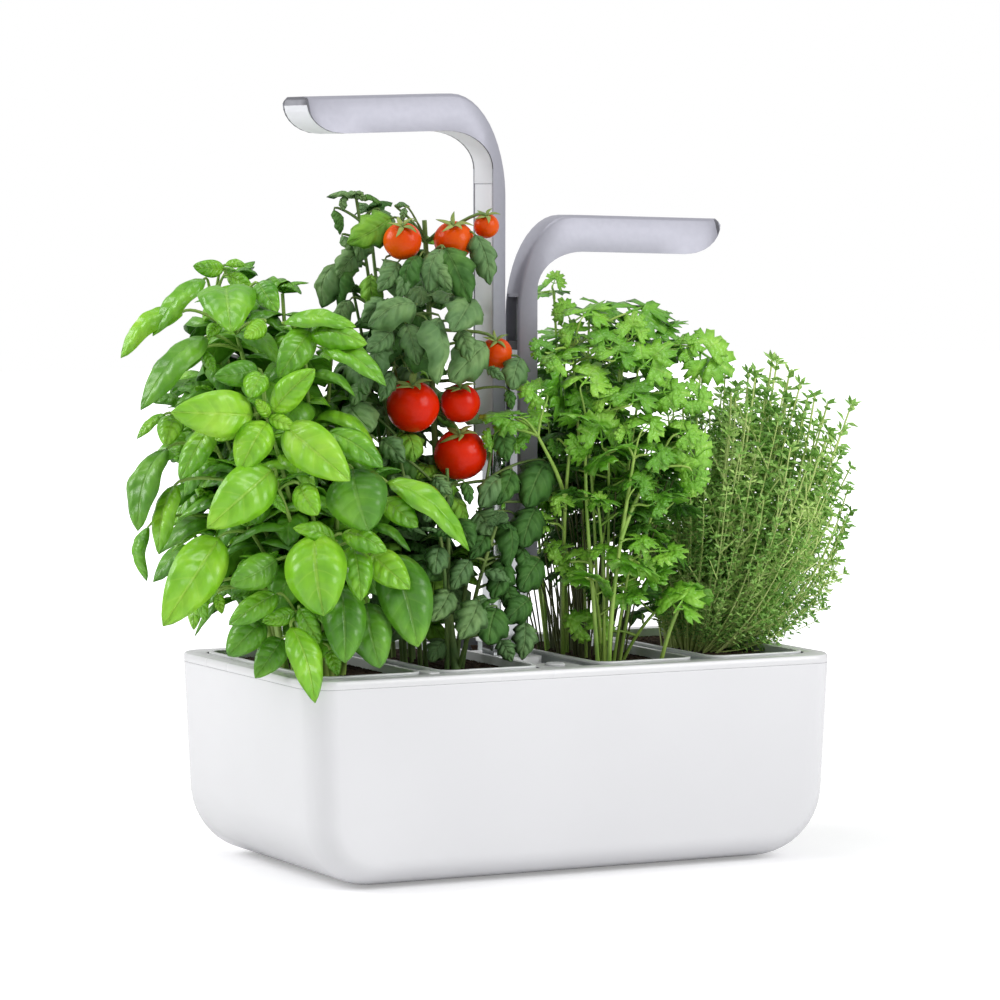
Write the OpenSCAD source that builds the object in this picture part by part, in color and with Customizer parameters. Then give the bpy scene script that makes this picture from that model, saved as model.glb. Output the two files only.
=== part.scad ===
// Countertop hydroponic garden: a rounded tub with a lift-off deck, four plant trays
// and two lamp arms that slide on a pair of flat posts.
// Millimetres, +Z up, -Y is the front. The origin lies on the table, under the middle of the tub.

/* [Casing] */
// Width of the casing at its upper edge
body_w = 324; // [320:2:344]
// Depth of the casing at its upper edge
body_d = 188; // [184:2:210]
// Height of the casing without its feet
casing_h = 108; // [105:1:125]
// Wall thickness of the casing
casing_wall = 2.5; // [2:0.5:3.5]
// Radius of the lower corners, seen from the front
corner_r = 40; // [30:1:48]
// How far the rounding of the front and rear edges reaches along the front
edge_r = 16; // [13:0.5:20]
// How far the full rounding would reach along an end wall
edge_d = 26; // [20:1:30]
// Angle at which the rounding meets the end wall in a crease
edge_cut = 72; // [65:1:85]
// How far each end wall draws in at the bottom
end_draft = 2.7; // [0:0.1:4]
// How far the front and rear walls draw in at the bottom
front_draft = 2; // [0:0.1:4]
// How far the rubber feet stand below the casing
foot_h = 2; // [2:0.5:5]
// Radius of a rubber foot
foot_r = 10; // [7:1:12]

/* [Water tank] */
// Space between the tank and the casing wall
tank_space = 5; // [4.5:0.5:8]
// Wall thickness of the tank
tank_wall = 2; // [1.5:0.25:3]
// Height of the pads that carry the tank above the casing's floor
tank_pad_h = 6.5; // [4:0.5:10]

/* [Deck] */
// Height of the deck's rim above the casing
rim_h = 4.6; // [4:0.2:6]
// Depth of the recessed deck floor below the rim
recess = 8.6; // [7:0.2:10]
// Thickness of the deck floor
deck_floor = 2.2; // [2:0.2:3]
// Height of the skirt that locates the deck in the casing
skirt_h = 7; // [5:0.5:9]
// Space between the skirt and the casing wall
skirt_space = 0.9; // [0.8:0.1:1.5]
// Width of the rim at the front and rear
front_ledge = 13; // [11:0.5:14]

/* [Trays] */
// Space between an outer tray and the end of the casing
end_ledge = 13; // [12.5:0.5:16]
// Length of a tray from front to rear
tray_l = 154; // [140:2:155]
// Space between neighbouring trays
tray_gap = 11; // [10:0.5:13]
// Space between the middle trays, where the tower stands
centre_gap = 36; // [35:0.5:40]
// Height of a tray's upper part above the deck floor
tray_lip_h = 9.5; // [8:0.5:12]
// Depth of a tray below the deck floor
tray_depth = 46; // [35:1:60]
// Wall thickness of a tray
tray_wall = 1.6; // [1.2:0.2:2.4]
// How far the growing medium lies below the tray's rim
soil_drop = 4; // [3:0.5:8]
// Gap between the wick strips and the tank's floor
wick_clear = 7; // [3:0.5:20]

/* [Lamp posts] */
// Distance from the middle plane to the outer face of each mast
mast_gap = 3.75; // [3:0.25:5]
// Thickness of a post
post_t = 6.6; // [6:0.2:7]
// Depth of a post from front to rear
post_d = 13; // [12:0.5:13.5]
// How far the left lamp can be raised
lamp_raise = 9.5; // [6:0.5:9.5]
// Wall thickness of a post
post_wall = 1.2; // [0.8:0.1:1.6]

/* [Lamp arms] */
// Height of the left lamp's top above the table
left_top = 426; // [420:1:430]
// Height of the right lamp's top above the table
right_top = 359; // [355:1:365]
// Overall height of an arm
arm_h = 190; // [185:1:200]
// Reach of a lamp from the middle plane to its tip
reach = 128; // [110:1:140]
// Thickness of a mast
mast_t = 10; // [9.6:0.1:12]
// Depth of a mast at its inner side
mast_in = 25; // [24:0.5:28]
// Depth of a mast at its outer side
mast_out = 17.5; // [17:0.5:20]
// Depth of a lamp head at the underside of its tip
head_in = 34; // [30:0.5:36]
// Depth of a lamp head at the top of its tip
head_out = 25; // [22:0.5:28]
// Height of a lamp head
head_h = 20.5; // [19:0.5:23]
// Height of the head's end at its tip
tip_h = 3.5; // [3:0.5:5]
// Length over which the head's underside sweeps up to the tip
tip_l = 22; // [16:1:26]
// Droop of the head towards its tip, in degrees
droop = 1.6; // [0:0.1:2.5]
// Wall thickness of the arm shell
shell_t = 1.4; // [1.2:0.1:1.8]
// Thickness of the diffuser and the mast cover
cover_t = 1.4; // [1.2:0.1:1.8]

/* [Controls] */
// Travel of the lamp button
button_travel = 0.8; // [0.5:0.1:0.8]
// Radius of the lamp button
button_r = 5.5; // [4:0.5:7]
// Width of the filling plug
plug_w = 7.4; // [6.5:0.1:8]
// Length of the filling plug
plug_l = 16; // [12:1:20]

/* [Hidden] */

$fn = 48;
smooth_fn = 48;
room_fn = 24;
edge_steps = 8;

// Heights that the pieces share
casing_floor = foot_h + casing_wall;
casing_top = foot_h + casing_h;
rim_top = casing_top + rim_h;
floor_top = rim_top - recess;
floor_under = floor_top - deck_floor;
tank_bottom = casing_floor + tank_pad_h;
tank_top = casing_top - skirt_h - 1;
tray_floor_under = floor_top - tray_depth;
tray_floor_top = tray_floor_under + tray_wall;
wick_l = tray_floor_under - tank_bottom - tank_wall - wick_clear;
tray_rim = floor_top + tray_lip_h;
soil_top = tray_rim - soil_drop;

// Trays, from left to right
tray_w = (body_w - 2 * end_ledge - centre_gap - 2 * tray_gap) / 4;
tray_bead = 1.2;
tray_step = 3;
tray_r = 9;
tray_x = [for (k = [-1.5, -0.5, 0.5, 1.5])
  (k > 0 ? 1 : -1) * (centre_gap / 2 + (abs(k) - 0.5) * (tray_w + tray_gap) + tray_w / 2)];
tray_cut = 0.6;

// Lamp parts, in the arm's own frame: u is the distance from the middle plane, z counts down from the lamp's top
post_u = mast_gap + 1.4;
bend_out = [33, 56];
bend_in = [28, 21];
seam_drop = 8;
bend_end_u = mast_gap + mast_t + bend_in[0];
corner_t = 2;
slide_gap = 0.3;
seat_gap = 0.1;
shoe_h = 36;
shoe_lift = 2;
cap_h = 5;
cap_lip = 0.9;

// ---------------------------------------------------------------- shared shapes

module rounded_rect(w, d, r) {
  square([w - 2 * r, d], center = true);
  square([w, d - 2 * r], center = true);
  for (sx = [-1, 1], sy = [-1, 1])
    translate([sx * (w / 2 - r), sy * (d / 2 - r)]) circle(r);
}

module plate(w, d, r, h) {
  linear_extrude(h) rounded_rect(w, d, r);
}

// Rounding of the tub's front edge, from the front face to the crease at the end wall
function edge_arc(edge) = [for (i = [0 : edge_steps]) let (a = edge_cut * i / edge_steps)
  [edge * (sin(a) - sin(edge_cut)), -edge * edge_d / edge_r * (1 - cos(a))]];

// Outline of the tub seen from above
module tub_plan(w, d, edge, h) {
  arc = edge_arc(edge);
  back = [for (i = [edge_steps : -1 : 0]) arc[i]];
  linear_extrude(h)
    polygon(concat([for (q = arc) [w / 2 + q[0], d / 2 + q[1]]], [for (q = back) [w / 2 + q[0], -d / 2 - q[1]]],
                   [for (q = arc) [-w / 2 - q[0], -d / 2 - q[1]]], [for (q = back) [-w / 2 - q[0], d / 2 + q[1]]]));
}

// Tub whose front outline has round lower corners, with rounded front and rear edges
module pillow(w, d, h, corner, edge, end_in, front_in, fn) {
  arc = edge_arc(edge);
  back = [for (i = [edge_steps : -1 : 0]) arc[i]];
  half = d / 2 - front_in;
  hull() {
    translate([0, 0, h - 1]) tub_plan(w, d, edge, 1);
    for (sx = [-1, 1])
      translate([sx * (w / 2 - end_in - corner), 0, corner]) rotate([90, 0, 0])
        rotate_extrude($fn = fn)
          polygon(concat([[0, half]], [for (q = arc) [corner + q[0], half + q[1]]],
                         [for (q = back) [corner + q[0], -half - q[1]]], [[0, -half]]));
  }
}

// Closed skin over rings that all have the same number of points
module loft(rings) {
  n = len(rings[0]);
  m = len(rings);
  points = [for (ring = rings, p = ring) p];
  sides = [for (i = [0 : m - 2], j = [0 : n - 1])
    [i * n + j, i * n + (j + 1) % n, (i + 1) * n + (j + 1) % n, (i + 1) * n + j]];
  first = [[for (j = [n - 1 : -1 : 0]) j]];
  last = [[for (j = [0 : n - 1]) (m - 1) * n + j]];
  polyhedron(points, concat(first, sides, last), convexity = 8);
}

function unit(v) = v / norm(v);

// Round tube along a list of points
module tube(path, r, n = 8) {
  count = len(path);
  loft([for (i = [0 : count - 1])
    let (dir = unit(path[min(i + 1, count - 1)] - path[max(i - 1, 0)]),
         side = unit(cross(dir, abs(dir[0]) < 0.9 ? [1, 0, 0] : [0, 1, 0])),
         up = cross(side, dir))
    [for (k = [0 : n - 1]) path[i] + r * (cos(360 * k / n) * side + sin(360 * k / n) * up)]]);
}

// ---------------------------------------------------------------- casing and tank

notch_w = 34;
notch_h = 24;

module casing_body() {
  translate([0, 0, foot_h])
    pillow(body_w, body_d, casing_h, corner_r, edge_r, end_draft, front_draft, smooth_fn);
}

module casing_room(wall) {
  translate([0, 0, foot_h + wall])
    pillow(body_w - 2 * wall, body_d - 2 * wall, casing_h, corner_r - wall, edge_r - wall, end_draft, front_draft,
           room_fn);
}

foot_x = body_w / 2 - end_draft - corner_r - foot_r - 12;
foot_y = body_d / 2 - front_draft - edge_d - foot_r - 5;
foot_seat = 1.2;

module at_feet() {
  for (sx = [-1, 1], sy = [-1, 1]) translate([sx * foot_x, sy * foot_y, 0]) children();
}

module outer_casing() {
  color("white")
    difference() {
      union() {
        difference() {
          casing_body();
          casing_room(casing_wall);
        }
        // Pads that carry the tank
        for (sx = [-1, 1], sy = [-1, 1])
          translate([sx * foot_x - foot_r, sy * foot_y - foot_r, casing_floor - 0.5])
            cube([2 * foot_r, 2 * foot_r, tank_pad_h + 0.5]);
      }
      // Notch for the deck's rear tongue
      translate([-notch_w / 2, body_d / 2 - edge_r, casing_top - notch_h])
        cube([notch_w, edge_r + 1, notch_h + 1]);
      // Seats of the feet
      at_feet() translate([0, 0, foot_h - 1]) cylinder(r = foot_r, h = 1 + foot_seat);
    }
}

module rubber_feet() {
  color("dimgray")
    at_feet() {
      cylinder(r = foot_r - 0.2, h = foot_h + foot_seat);
      cylinder(r = foot_r + 1.2, h = foot_h);
    }
}

tank_inset = casing_wall + tank_space;

module water_tank() {
  color("gainsboro")
    difference() {
      translate([0, 0, tank_bottom])
        pillow(body_w - 2 * tank_inset, body_d - 2 * tank_inset, tank_top - tank_bottom,
               corner_r - tank_inset, edge_r - tank_inset, end_draft, front_draft, room_fn);
      translate([0, 0, tank_bottom + tank_wall])
        pillow(body_w - 2 * (tank_inset + tank_wall), body_d - 2 * (tank_inset + tank_wall),
               tank_top - tank_bottom, corner_r - tank_inset - tank_wall, edge_r - tank_inset - tank_wall,
               end_draft, front_draft, room_fn);
      // Notch that the power inlet passes through
      translate([-notch_w / 2, body_d / 2 - tank_inset - 2 * tank_wall, casing_top - notch_h])
        cube([notch_w, 4 * tank_wall, notch_h]);
    }
}

// ---------------------------------------------------------------- deck

recess_w = 2 * (tray_x[3] + tray_w / 2 + 2);
recess_d = body_d - 2 * front_ledge;
skirt_inset = casing_wall + skirt_space;
skirt_t = 2;
inlet_r = 5.5;
inlet_z = casing_top - notch_h / 2 - 2.5;
tongue_gap = 0.4;
tongue_t = 3;
tongue_y = body_d / 2 - front_draft * notch_h / casing_h - 0.3;
block_w = 26;
block_l = 26;
block_y = -recess_d / 2 + block_l / 2 + 8;
block_top = rim_top - 1.5;
tower_w = 26;
tower_l = 44;
tower_clear = 0.3;
plug_x = (tray_x[0] + tray_x[1]) / 2;
plug_y = -recess_d / 2 + plug_l / 2 + 1;
plug_stem_r = 2.9;
plug_clear = 0.3;

module deck_cover() {
  color("white")
    difference() {
      union() {
        difference() {
          union() {
            translate([0, 0, casing_top]) tub_plan(body_w, body_d, edge_r, rim_h - 1.2);
            // Eased upper edge
            translate([0, 0, casing_top + rim_h - 1.2]) hull() {
              tub_plan(body_w, body_d, edge_r, 0.2);
              translate([0, 0, 1]) tub_plan(body_w - 1.6, body_d - 1.6, edge_r - 0.8, 0.2);
            }
          }
          translate([0, 0, casing_top - 1]) plate(recess_w, recess_d, 12, rim_h + 2);
          translate([0, 0, casing_top - 1])
            tub_plan(body_w - 2 * (skirt_inset + skirt_t + 1), body_d - 2 * (skirt_inset + skirt_t + 1),
                     edge_r - skirt_inset - skirt_t - 1, rim_h - 1.4);
        }
        // Wall and floor of the recess
        difference() {
          translate([0, 0, floor_under]) plate(recess_w + 4, recess_d + 4, 14, rim_top - floor_under - 1.4);
          translate([0, 0, floor_top]) plate(recess_w, recess_d, 12, recess + 1);
        }
        // Skirt inside the casing
        translate([0, 0, casing_top - skirt_h])
          difference() {
            tub_plan(body_w - 2 * skirt_inset, body_d - 2 * skirt_inset, edge_r - skirt_inset, skirt_h + 0.5);
            translate([0, 0, -1])
              tub_plan(body_w - 2 * (skirt_inset + skirt_t), body_d - 2 * (skirt_inset + skirt_t),
                       edge_r - skirt_inset - skirt_t, skirt_h + 3);
          }
        // Rear tongue that closes the casing's notch and carries the power inlet
        translate([-notch_w / 2 + tongue_gap, tongue_y - tongue_t, casing_top - notch_h + tongue_gap])
          cube([notch_w - 2 * tongue_gap, tongue_t, notch_h]);
        // Control block
        translate([-block_w / 2, block_y - block_l / 2, floor_under]) cube([block_w, block_l, block_top - floor_under]);
      }
      // Tray openings
      for (x = tray_x)
        translate([x, 0, floor_under - 1])
          plate(tray_w - 2 * tray_step + 2 * tray_cut, tray_l - 2 * tray_step + 2 * tray_cut, tray_r - tray_step, deck_floor + 2);
      // Opening for the tower base
      translate([-tower_w / 2 - tower_clear, -tower_l / 2 - tower_clear, floor_under - 1])
        cube([tower_w + 2 * tower_clear, tower_l + 2 * tower_clear, deck_floor + 2]);
      // Well of the button and the hole of the filling plug
      translate([0, block_y, floor_under - 1]) cylinder(r = button_r + slide_gap, h = recess + 10);
      translate([plug_x, plug_y, floor_under - 1]) cylinder(r = plug_stem_r + plug_clear, h = deck_floor + 2);
      // Seat of the power inlet
      translate([0, tongue_y + 1, inlet_z]) rotate([90, 0, 0]) cylinder(r = inlet_r, h = tongue_t + 2);
    }
}

module power_inlet() {
  color("black")
    translate([0, tongue_y, inlet_z]) rotate([90, 0, 0]) {
      difference() {
        union() {
          cylinder(r = inlet_r - 0.05, h = 12);
          translate([0, 0, tongue_t]) cylinder(r = inlet_r + 1.5, h = 2.5);
        }
        translate([0, 0, -1]) cylinder(r = 2.8, h = 11);
      }
      translate([0, 0, 1]) cylinder(r = 1, h = 10);
    }
}

pod_w = 32;
pod_wall = 2;
pod_bottom = floor_under - 34;
pod_front = block_y - block_l / 2 + 1;
pod_end = tower_l / 2 + 10;
pod_l = pod_end - pod_front;
pod_y = (pod_front + pod_end) / 2;
lead_r = 1.6;

module inlet_lead() {
  color("dimgray")
    tube([[0, tongue_y - 12, inlet_z], [0, tongue_y - 16, inlet_z], [3, tongue_y - 22, inlet_z - 2],
          [4, (tongue_y + pod_end) / 2, inlet_z - 4], [2, pod_end + 8, inlet_z - 2], [0, pod_end + 3, inlet_z],
          [0, pod_end, inlet_z]], lead_r);
}

module pod_outline(inset) {
  translate([0, pod_y]) rounded_rect(pod_w - 2 * inset, pod_l - 2 * inset, 5 - inset);
}

module electronics_pod() {
  color("whitesmoke")
    difference() {
      translate([0, 0, pod_bottom + pod_wall]) linear_extrude(floor_under - pod_bottom - pod_wall) pod_outline(0);
      translate([0, 0, pod_bottom]) linear_extrude(floor_under - pod_bottom + 1) pod_outline(pod_wall);
    }
}

module pod_cover() {
  color("whitesmoke") {
    translate([0, 0, pod_bottom]) linear_extrude(pod_wall) pod_outline(0);
    // Posts that carry the control board
    for (sy = [-1, 1])
      translate([0, pod_y + sy * (pod_l / 2 - 10), pod_bottom]) cylinder(r = 3, h = pod_wall + 4);
  }
}

board_t = 1.6;

module control_board() {
  color("green") {
    translate([-pod_w / 2 + pod_wall + 1, pod_y - pod_l / 2 + pod_wall + 1, pod_bottom + pod_wall + 4])
      cube([pod_w - 2 * pod_wall - 2, pod_l - 2 * pod_wall - 2, board_t]);
    // Driver chip and two capacitors
    translate([-5, pod_y + 12, pod_bottom + pod_wall + 4]) cube([10, 12, board_t + 3]);
    for (s = [-1, 1])
      translate([s * 6, pod_y + 34, pod_bottom + pod_wall + 4]) cylinder(r = 3, h = board_t + 7);
  }
}

button_h = 9;
button_top = block_top + 1.4;
button_foot = button_top - button_h;
switch_top = button_foot - button_travel - 0.1;

module lamp_button() {
  color("gainsboro")
    translate([0, block_y, 0])
      rotate_extrude()
        polygon([[0, button_foot], [button_r, button_foot], [button_r, button_top - 0.8],
                 [button_r - 0.8, button_top], [2, button_top - 0.5], [0, button_top - 0.6]]);
}

module tact_switch() {
  // Switch under the button, on a pillar from the control board
  color("dimgray")
    translate([0, block_y, 0]) {
      translate([-4, -4, pod_bottom + pod_wall + 4 + board_t])
        cube([8, 8, switch_top - 2 - (pod_bottom + pod_wall + 4 + board_t)]);
      cylinder_from(switch_top - 2, switch_top, 1.8);
    }
}

module cylinder_from(z0, z1, r) {
  translate([0, 0, z0]) cylinder(r = r, h = z1 - z0);
}

module filling_plug() {
  color("white")
    translate([plug_x, plug_y, 0]) {
      translate([0, 0, floor_top]) plate(plug_w, plug_l, 1.5, rim_top - floor_top + 0.4);
      cylinder_from(floor_under - 4, floor_top, plug_stem_r);
    }
}

// ---------------------------------------------------------------- trays, medium and wicks

wick_w = 26;
wick_t = 1.5;
wick_y = 34;
soil_gap = 0.15;

module tray(i) {
  translate([tray_x[i], 0, 0])
    difference() {
      union() {
        translate([0, 0, tray_floor_under])
          plate(tray_w - 2 * tray_step, tray_l - 2 * tray_step, tray_r - tray_step, tray_depth + 1);
        translate([0, 0, floor_top]) plate(tray_w, tray_l, tray_r, tray_lip_h);
        // Rolled rim
        translate([0, 0, tray_rim - 1.8])
          plate(tray_w + 2 * tray_bead, tray_l + 2 * tray_bead, tray_r + tray_bead, 1.8);
      }
      translate([0, 0, tray_floor_top])
        plate(tray_w - 2 * tray_step - 2 * tray_wall, tray_l - 2 * tray_step - 2 * tray_wall,
              tray_r - tray_step - tray_wall, tray_depth);
      translate([0, 0, floor_top + tray_wall])
        plate(tray_w - 2 * tray_wall, tray_l - 2 * tray_wall, tray_r - tray_wall, tray_lip_h + 1);
      // Slots for the wicks
      for (sy = [-1, 1])
        translate([-wick_w / 2 - 0.2, sy * wick_y - wick_t / 2 - 0.2, tray_floor_under - 1])
          cube([wick_w + 0.4, wick_t + 0.4, tray_wall + 2]);
    }
}

module soil(i) {
  translate([tray_x[i], 0, 0]) {
    translate([0, 0, tray_floor_top])
      plate(tray_w - 2 * (tray_step + tray_wall + soil_gap), tray_l - 2 * (tray_step + tray_wall + soil_gap),
            tray_r - tray_step - tray_wall - soil_gap, floor_top + tray_wall - tray_floor_top + 0.5);
    translate([0, 0, floor_top + tray_wall + soil_gap])
      plate(tray_w - 2 * (tray_wall + soil_gap), tray_l - 2 * (tray_wall + soil_gap),
            tray_r - tray_wall - soil_gap, soil_top - floor_top - tray_wall - soil_gap);
  }
}

module wicks(i) {
  for (sy = [-1, 1])
    translate([tray_x[i] - wick_w / 2, sy * wick_y - wick_t / 2, tray_floor_under - wick_l])
      cube([wick_w, wick_t, wick_l + tray_wall]);
}

module basil_tray() { color([0.85, 0.88, 0.87]) tray(0); }
module tomato_tray() { color([0.85, 0.88, 0.87]) tray(1); }
module parsley_tray() { color([0.85, 0.88, 0.87]) tray(2); }
module thyme_tray() { color([0.85, 0.88, 0.87]) tray(3); }
module basil_soil() { color([0.2, 0.13, 0.09]) soil(0); }
module tomato_soil() { color([0.2, 0.13, 0.09]) soil(1); }
module parsley_soil() { color([0.2, 0.13, 0.09]) soil(2); }
module thyme_soil() { color([0.2, 0.13, 0.09]) soil(3); }
module basil_wicks() { color("white") wicks(0); }
module tomato_wicks() { color("white") wicks(1); }
module parsley_wicks() { color("white") wicks(2); }
module thyme_wicks() { color("white") wicks(3); }

// ---------------------------------------------------------------- tower

tower_flange = 2;
tower_top = floor_top + 8;
tower_bottom = floor_under - 10;
post_foot = tower_bottom + 3;
post_top = left_top - arm_h + shoe_lift + shoe_h + lamp_raise + 0.5;
screw_r = 1.5;
tower_screw_y = tower_l / 2 - 4;

module post_outline(grow) {
  translate([post_u + post_t / 2, 0]) rounded_rect(post_t + 2 * grow, post_d + 2 * grow, 1.5);
}

module tower_base() {
  color("white")
    difference() {
      union() {
        translate([0, 0, tower_bottom]) plate(tower_w, tower_l, 4, tower_top - tower_bottom);
        translate([0, 0, floor_top]) plate(tower_w + 7, tower_l + 6, 5, tower_flange);
      }
      for (side = [0, 1])
        mirror([side, 0, 0])
          translate([0, 0, post_foot]) linear_extrude(tower_top) post_outline(0.05);
      for (sy = [-1, 1])
        translate([0, sy * tower_screw_y, tower_bottom - 1]) cylinder(r = screw_r, h = 9);
    }
}

module tower_screws() {
  color("silver")
    for (sy = [-1, 1])
      translate([0, sy * tower_screw_y, 0]) {
        cylinder_from(tower_bottom - 2, tower_bottom, 3);
        cylinder_from(tower_bottom, tower_bottom + 7.5, screw_r - 0.05);
      }
}

module post() {
  difference() {
    translate([0, 0, post_foot]) linear_extrude(post_top - post_foot) post_outline(0);
    translate([0, 0, post_foot - 1]) linear_extrude(post_top) post_outline(-post_wall);
  }
}

module left_post() { color("silver") mirror([1, 0, 0]) post(); }
module right_post() { color("silver") post(); }

module post_caps() {
  color("dimgray")
    for (side = [0, 1])
      mirror([side, 0, 0]) {
        // Head that stops the guide shoe
        translate([post_u + post_t / 2, 0, post_top])
          plate(post_t, post_d + 2 * cap_lip, 1.5, cap_h);
        translate([0, 0, post_top - 8]) linear_extrude(8.5) post_outline(-post_wall - 0.05);
      }
}

// ---------------------------------------------------------------- lamp arms

function fall(u) = -max(0, u - bend_end_u) * tan(droop);
function along(u) = min(1, max(0, (u - bend_end_u) / (reach - bend_end_u)));
function half_in(u) = (mast_in + (head_in - mast_in) * along(u)) / 2;
function half_out(u) = (mast_out + (head_out - mast_out) * along(u)) / 2;

// A station is [outer point, inner point, outer half depth, inner half depth]; points are [u, z]
function station(o, i) = [o, i, half_out(i[0]), half_in(i[0])];
tip_stations = [for (a = [90, 80, 68, 56, 44, 32, 18, 0])
  let (u = reach - tip_l + tip_l * sin(a), z = -head_h + (head_h - tip_h) * (1 - cos(a)))
  station([u, fall(u)], [u, z + fall(u)])];
head_stations = [for (k = [0.7, 0.35, 0.04])
  let (u = bend_end_u + k * (reach - tip_l - bend_end_u))
  station([u, fall(u)], [u, -head_h + fall(u)])];
bend_stations = [for (a = [90 : -7.5 : 0])
  station([mast_gap + bend_out[0] * (1 - cos(a)), -bend_out[1] * (1 - sin(a))],
          [mast_gap + mast_t + bend_in[0] * (1 - cos(a)), -head_h - bend_in[1] * (1 - sin(a))])];
foot_stations = [station([mast_gap, -arm_h], [mast_gap + mast_t, -arm_h])];
arm_stations = concat(tip_stations, head_stations, bend_stations, foot_stations);

// Point of a station: s runs from the outer towards the inner point, y across
function arm_point(st, s, y) =
  let (e = unit(st[1] - st[0]), p = st[0] + e * s) [p[0], y, p[1]];
function half_at(st, s) = st[2] + (st[3] - st[2]) * s / norm(st[1] - st[0]);

function solid_ring(st) =
  let (l = norm(st[1] - st[0]), c = min(corner_t, l / 2))
  [for (side = [1, -1], q = side > 0
        ? [[l, st[3]], [c, half_at(st, c)], [0.3 * c, half_at(st, 0) - 0.3 * c], [0, half_at(st, 0) - c]]
        : [[0, c - half_at(st, 0)], [0.3 * c, 0.3 * c - half_at(st, 0)], [c, -half_at(st, c)], [l, -st[3]]])
    arm_point(st, q[0], q[1])];

function room_ring(st) =
  let (l = norm(st[1] - st[0]), w = min(shell_t, l / 2 - 0.1))
  [arm_point(st, l + 1, half_at(st, l + 1) - shell_t), arm_point(st, w, half_at(st, w) - shell_t),
   arm_point(st, w, shell_t - half_at(st, w)), arm_point(st, l + 1, shell_t - half_at(st, l + 1))];

// The room runs out past both ends of the arm
function moved(st, by) = [st[0] + by, st[1] + by, st[2], st[3]];
room_stations = concat([moved(arm_stations[0], [1, 0])], arm_stations,
                       [moved(arm_stations[len(arm_stations) - 1], [0, -1])]);

// Height of the opening in the outer wall, where the post shows
window_top = -44;

module arm_shell() {
  difference() {
    loft([for (st = arm_stations) solid_ring(st)]);
    loft([for (st = room_stations) room_ring(st)]);
    translate([mast_gap - 1, -post_d / 2 - 0.5, -arm_h - 1])
      cube([1 + shell_t + 0.2, post_d + 1, arm_h + 1 + window_top]);
  }
}

// Path of the light opening's edge with its inward normal, from the tip to the seam on the mast
tip_path = [for (a = [86, 74, 62, 50, 38, 26, 12])
  let (u = reach - tip_l + tip_l * sin(a), z = -head_h + (head_h - tip_h) * (1 - cos(a)))
  [[u, z + fall(u)], unit([-(head_h - tip_h) * sin(a), tip_l * cos(a)])]];
head_path = [for (u = [reach - tip_l, (reach - tip_l + bend_end_u) / 2]) [[u, -head_h + fall(u)], [0, 1]]];
bend_path = [for (a = [90 : -10 : 0])
  [[mast_gap + mast_t + bend_in[0] * (1 - cos(a)), -head_h - bend_in[1] * (1 - sin(a))],
   unit([-bend_in[1] * cos(a), bend_in[0] * sin(a)])]];
seam_path = [[[mast_gap + mast_t, -head_h - bend_in[1] - seam_drop], [-1, 0]]];
light_path = concat(tip_path, head_path, bend_path, seam_path);
cover_side = shell_t + 0.15;

module diffuser() {
  loft([for (q = light_path)
    let (p = q[0], n = q[0] + cover_t * q[1],
         slant = (half_in(p[0]) - half_out(p[0])) * cover_t / (fall(p[0]) - p[1]),
         y = half_in(p[0]) - cover_side - 0.4 * slant, y2 = y - max(0.65, 1.6 * slant))
    [[p[0], y, p[1]], [n[0], y2, n[1]], [n[0], -y2, n[1]], [p[0], -y, p[1]]]]);
}

cover_top = -head_h - bend_in[1] - seam_drop - 0.3;

module mast_cover() {
  y = mast_in / 2 - cover_side - 0.5;
  translate([mast_gap + mast_t - cover_t, -y, -arm_h])
    cube([cover_t, 2 * y, arm_h + cover_top]);
}

shoe_bottom = -arm_h + shoe_lift;
shoe_in = mast_gap + mast_t - cover_t - seat_gap;

module shoe_outline() {
  function side_at(u) = mast_out / 2 + (mast_in - mast_out) / 2 * (u - mast_gap) / mast_t - shell_t - seat_gap;
  u0 = mast_gap + 0.3;
  u1 = mast_gap + shell_t + seat_gap;
  slot = post_d / 2 + 0.4;
  polygon([[u0, -slot], [u1, -slot], [u1, -side_at(u1)], [shoe_in, -side_at(shoe_in)],
           [shoe_in, side_at(shoe_in)], [u1, side_at(u1)], [u1, slot], [u0, slot]]);
}

spring_w = 3.4;
spring_l = 15;
spring_t = 0.5;
spring_u = post_u + post_t / 2 - spring_w / 2;
spring_z = shoe_bottom + shoe_h / 2 - spring_l / 2;

module guide_shoe() {
  difference() {
    translate([0, 0, shoe_bottom])
      linear_extrude(shoe_h) difference() {
        shoe_outline();
        post_outline(slide_gap);
        translate([post_u + post_t / 2, -post_d / 2 - slide_gap]) square([mast_t, post_d + 2 * slide_gap]);
      }
    // Pocket of the friction spring
    translate([spring_u - 0.1, -mast_in, spring_z - 0.1]) cube([spring_w + 0.2, mast_in, spring_l + 0.2]);
  }
}

module friction_spring() {
  // Bowed leaf: its ends bear on the shell and its middle on the post
  inner = -post_d / 2 - 0.05;
  outer = spring_t + 1.3;
  bow = [for (k = [0 : 8]) [inner - (outer - spring_t) * pow(k / 4 - 1, 2), spring_l * k / 8]];
  translate([spring_u + spring_w, 0, spring_z]) rotate([0, -90, 0])
    linear_extrude(spring_w)
      polygon(concat([for (p = bow) [p[1], p[0]]], [for (k = [8 : -1 : 0]) [bow[k][1], bow[k][0] - spring_t]]));
}

// Flat parts of the head lie parallel to its drooping top
module in_head() {
  translate([bend_end_u, 0, 0]) rotate([0, droop, 0]) children();
}

plate_start = 6;
plate_l = reach - bend_end_u - tip_l - plate_start;
plate_w = mast_out - 2;
plate_t = 3;
board_drop = head_h - cover_t - 7;
screw_at = [8, plate_l - 8];

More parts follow.
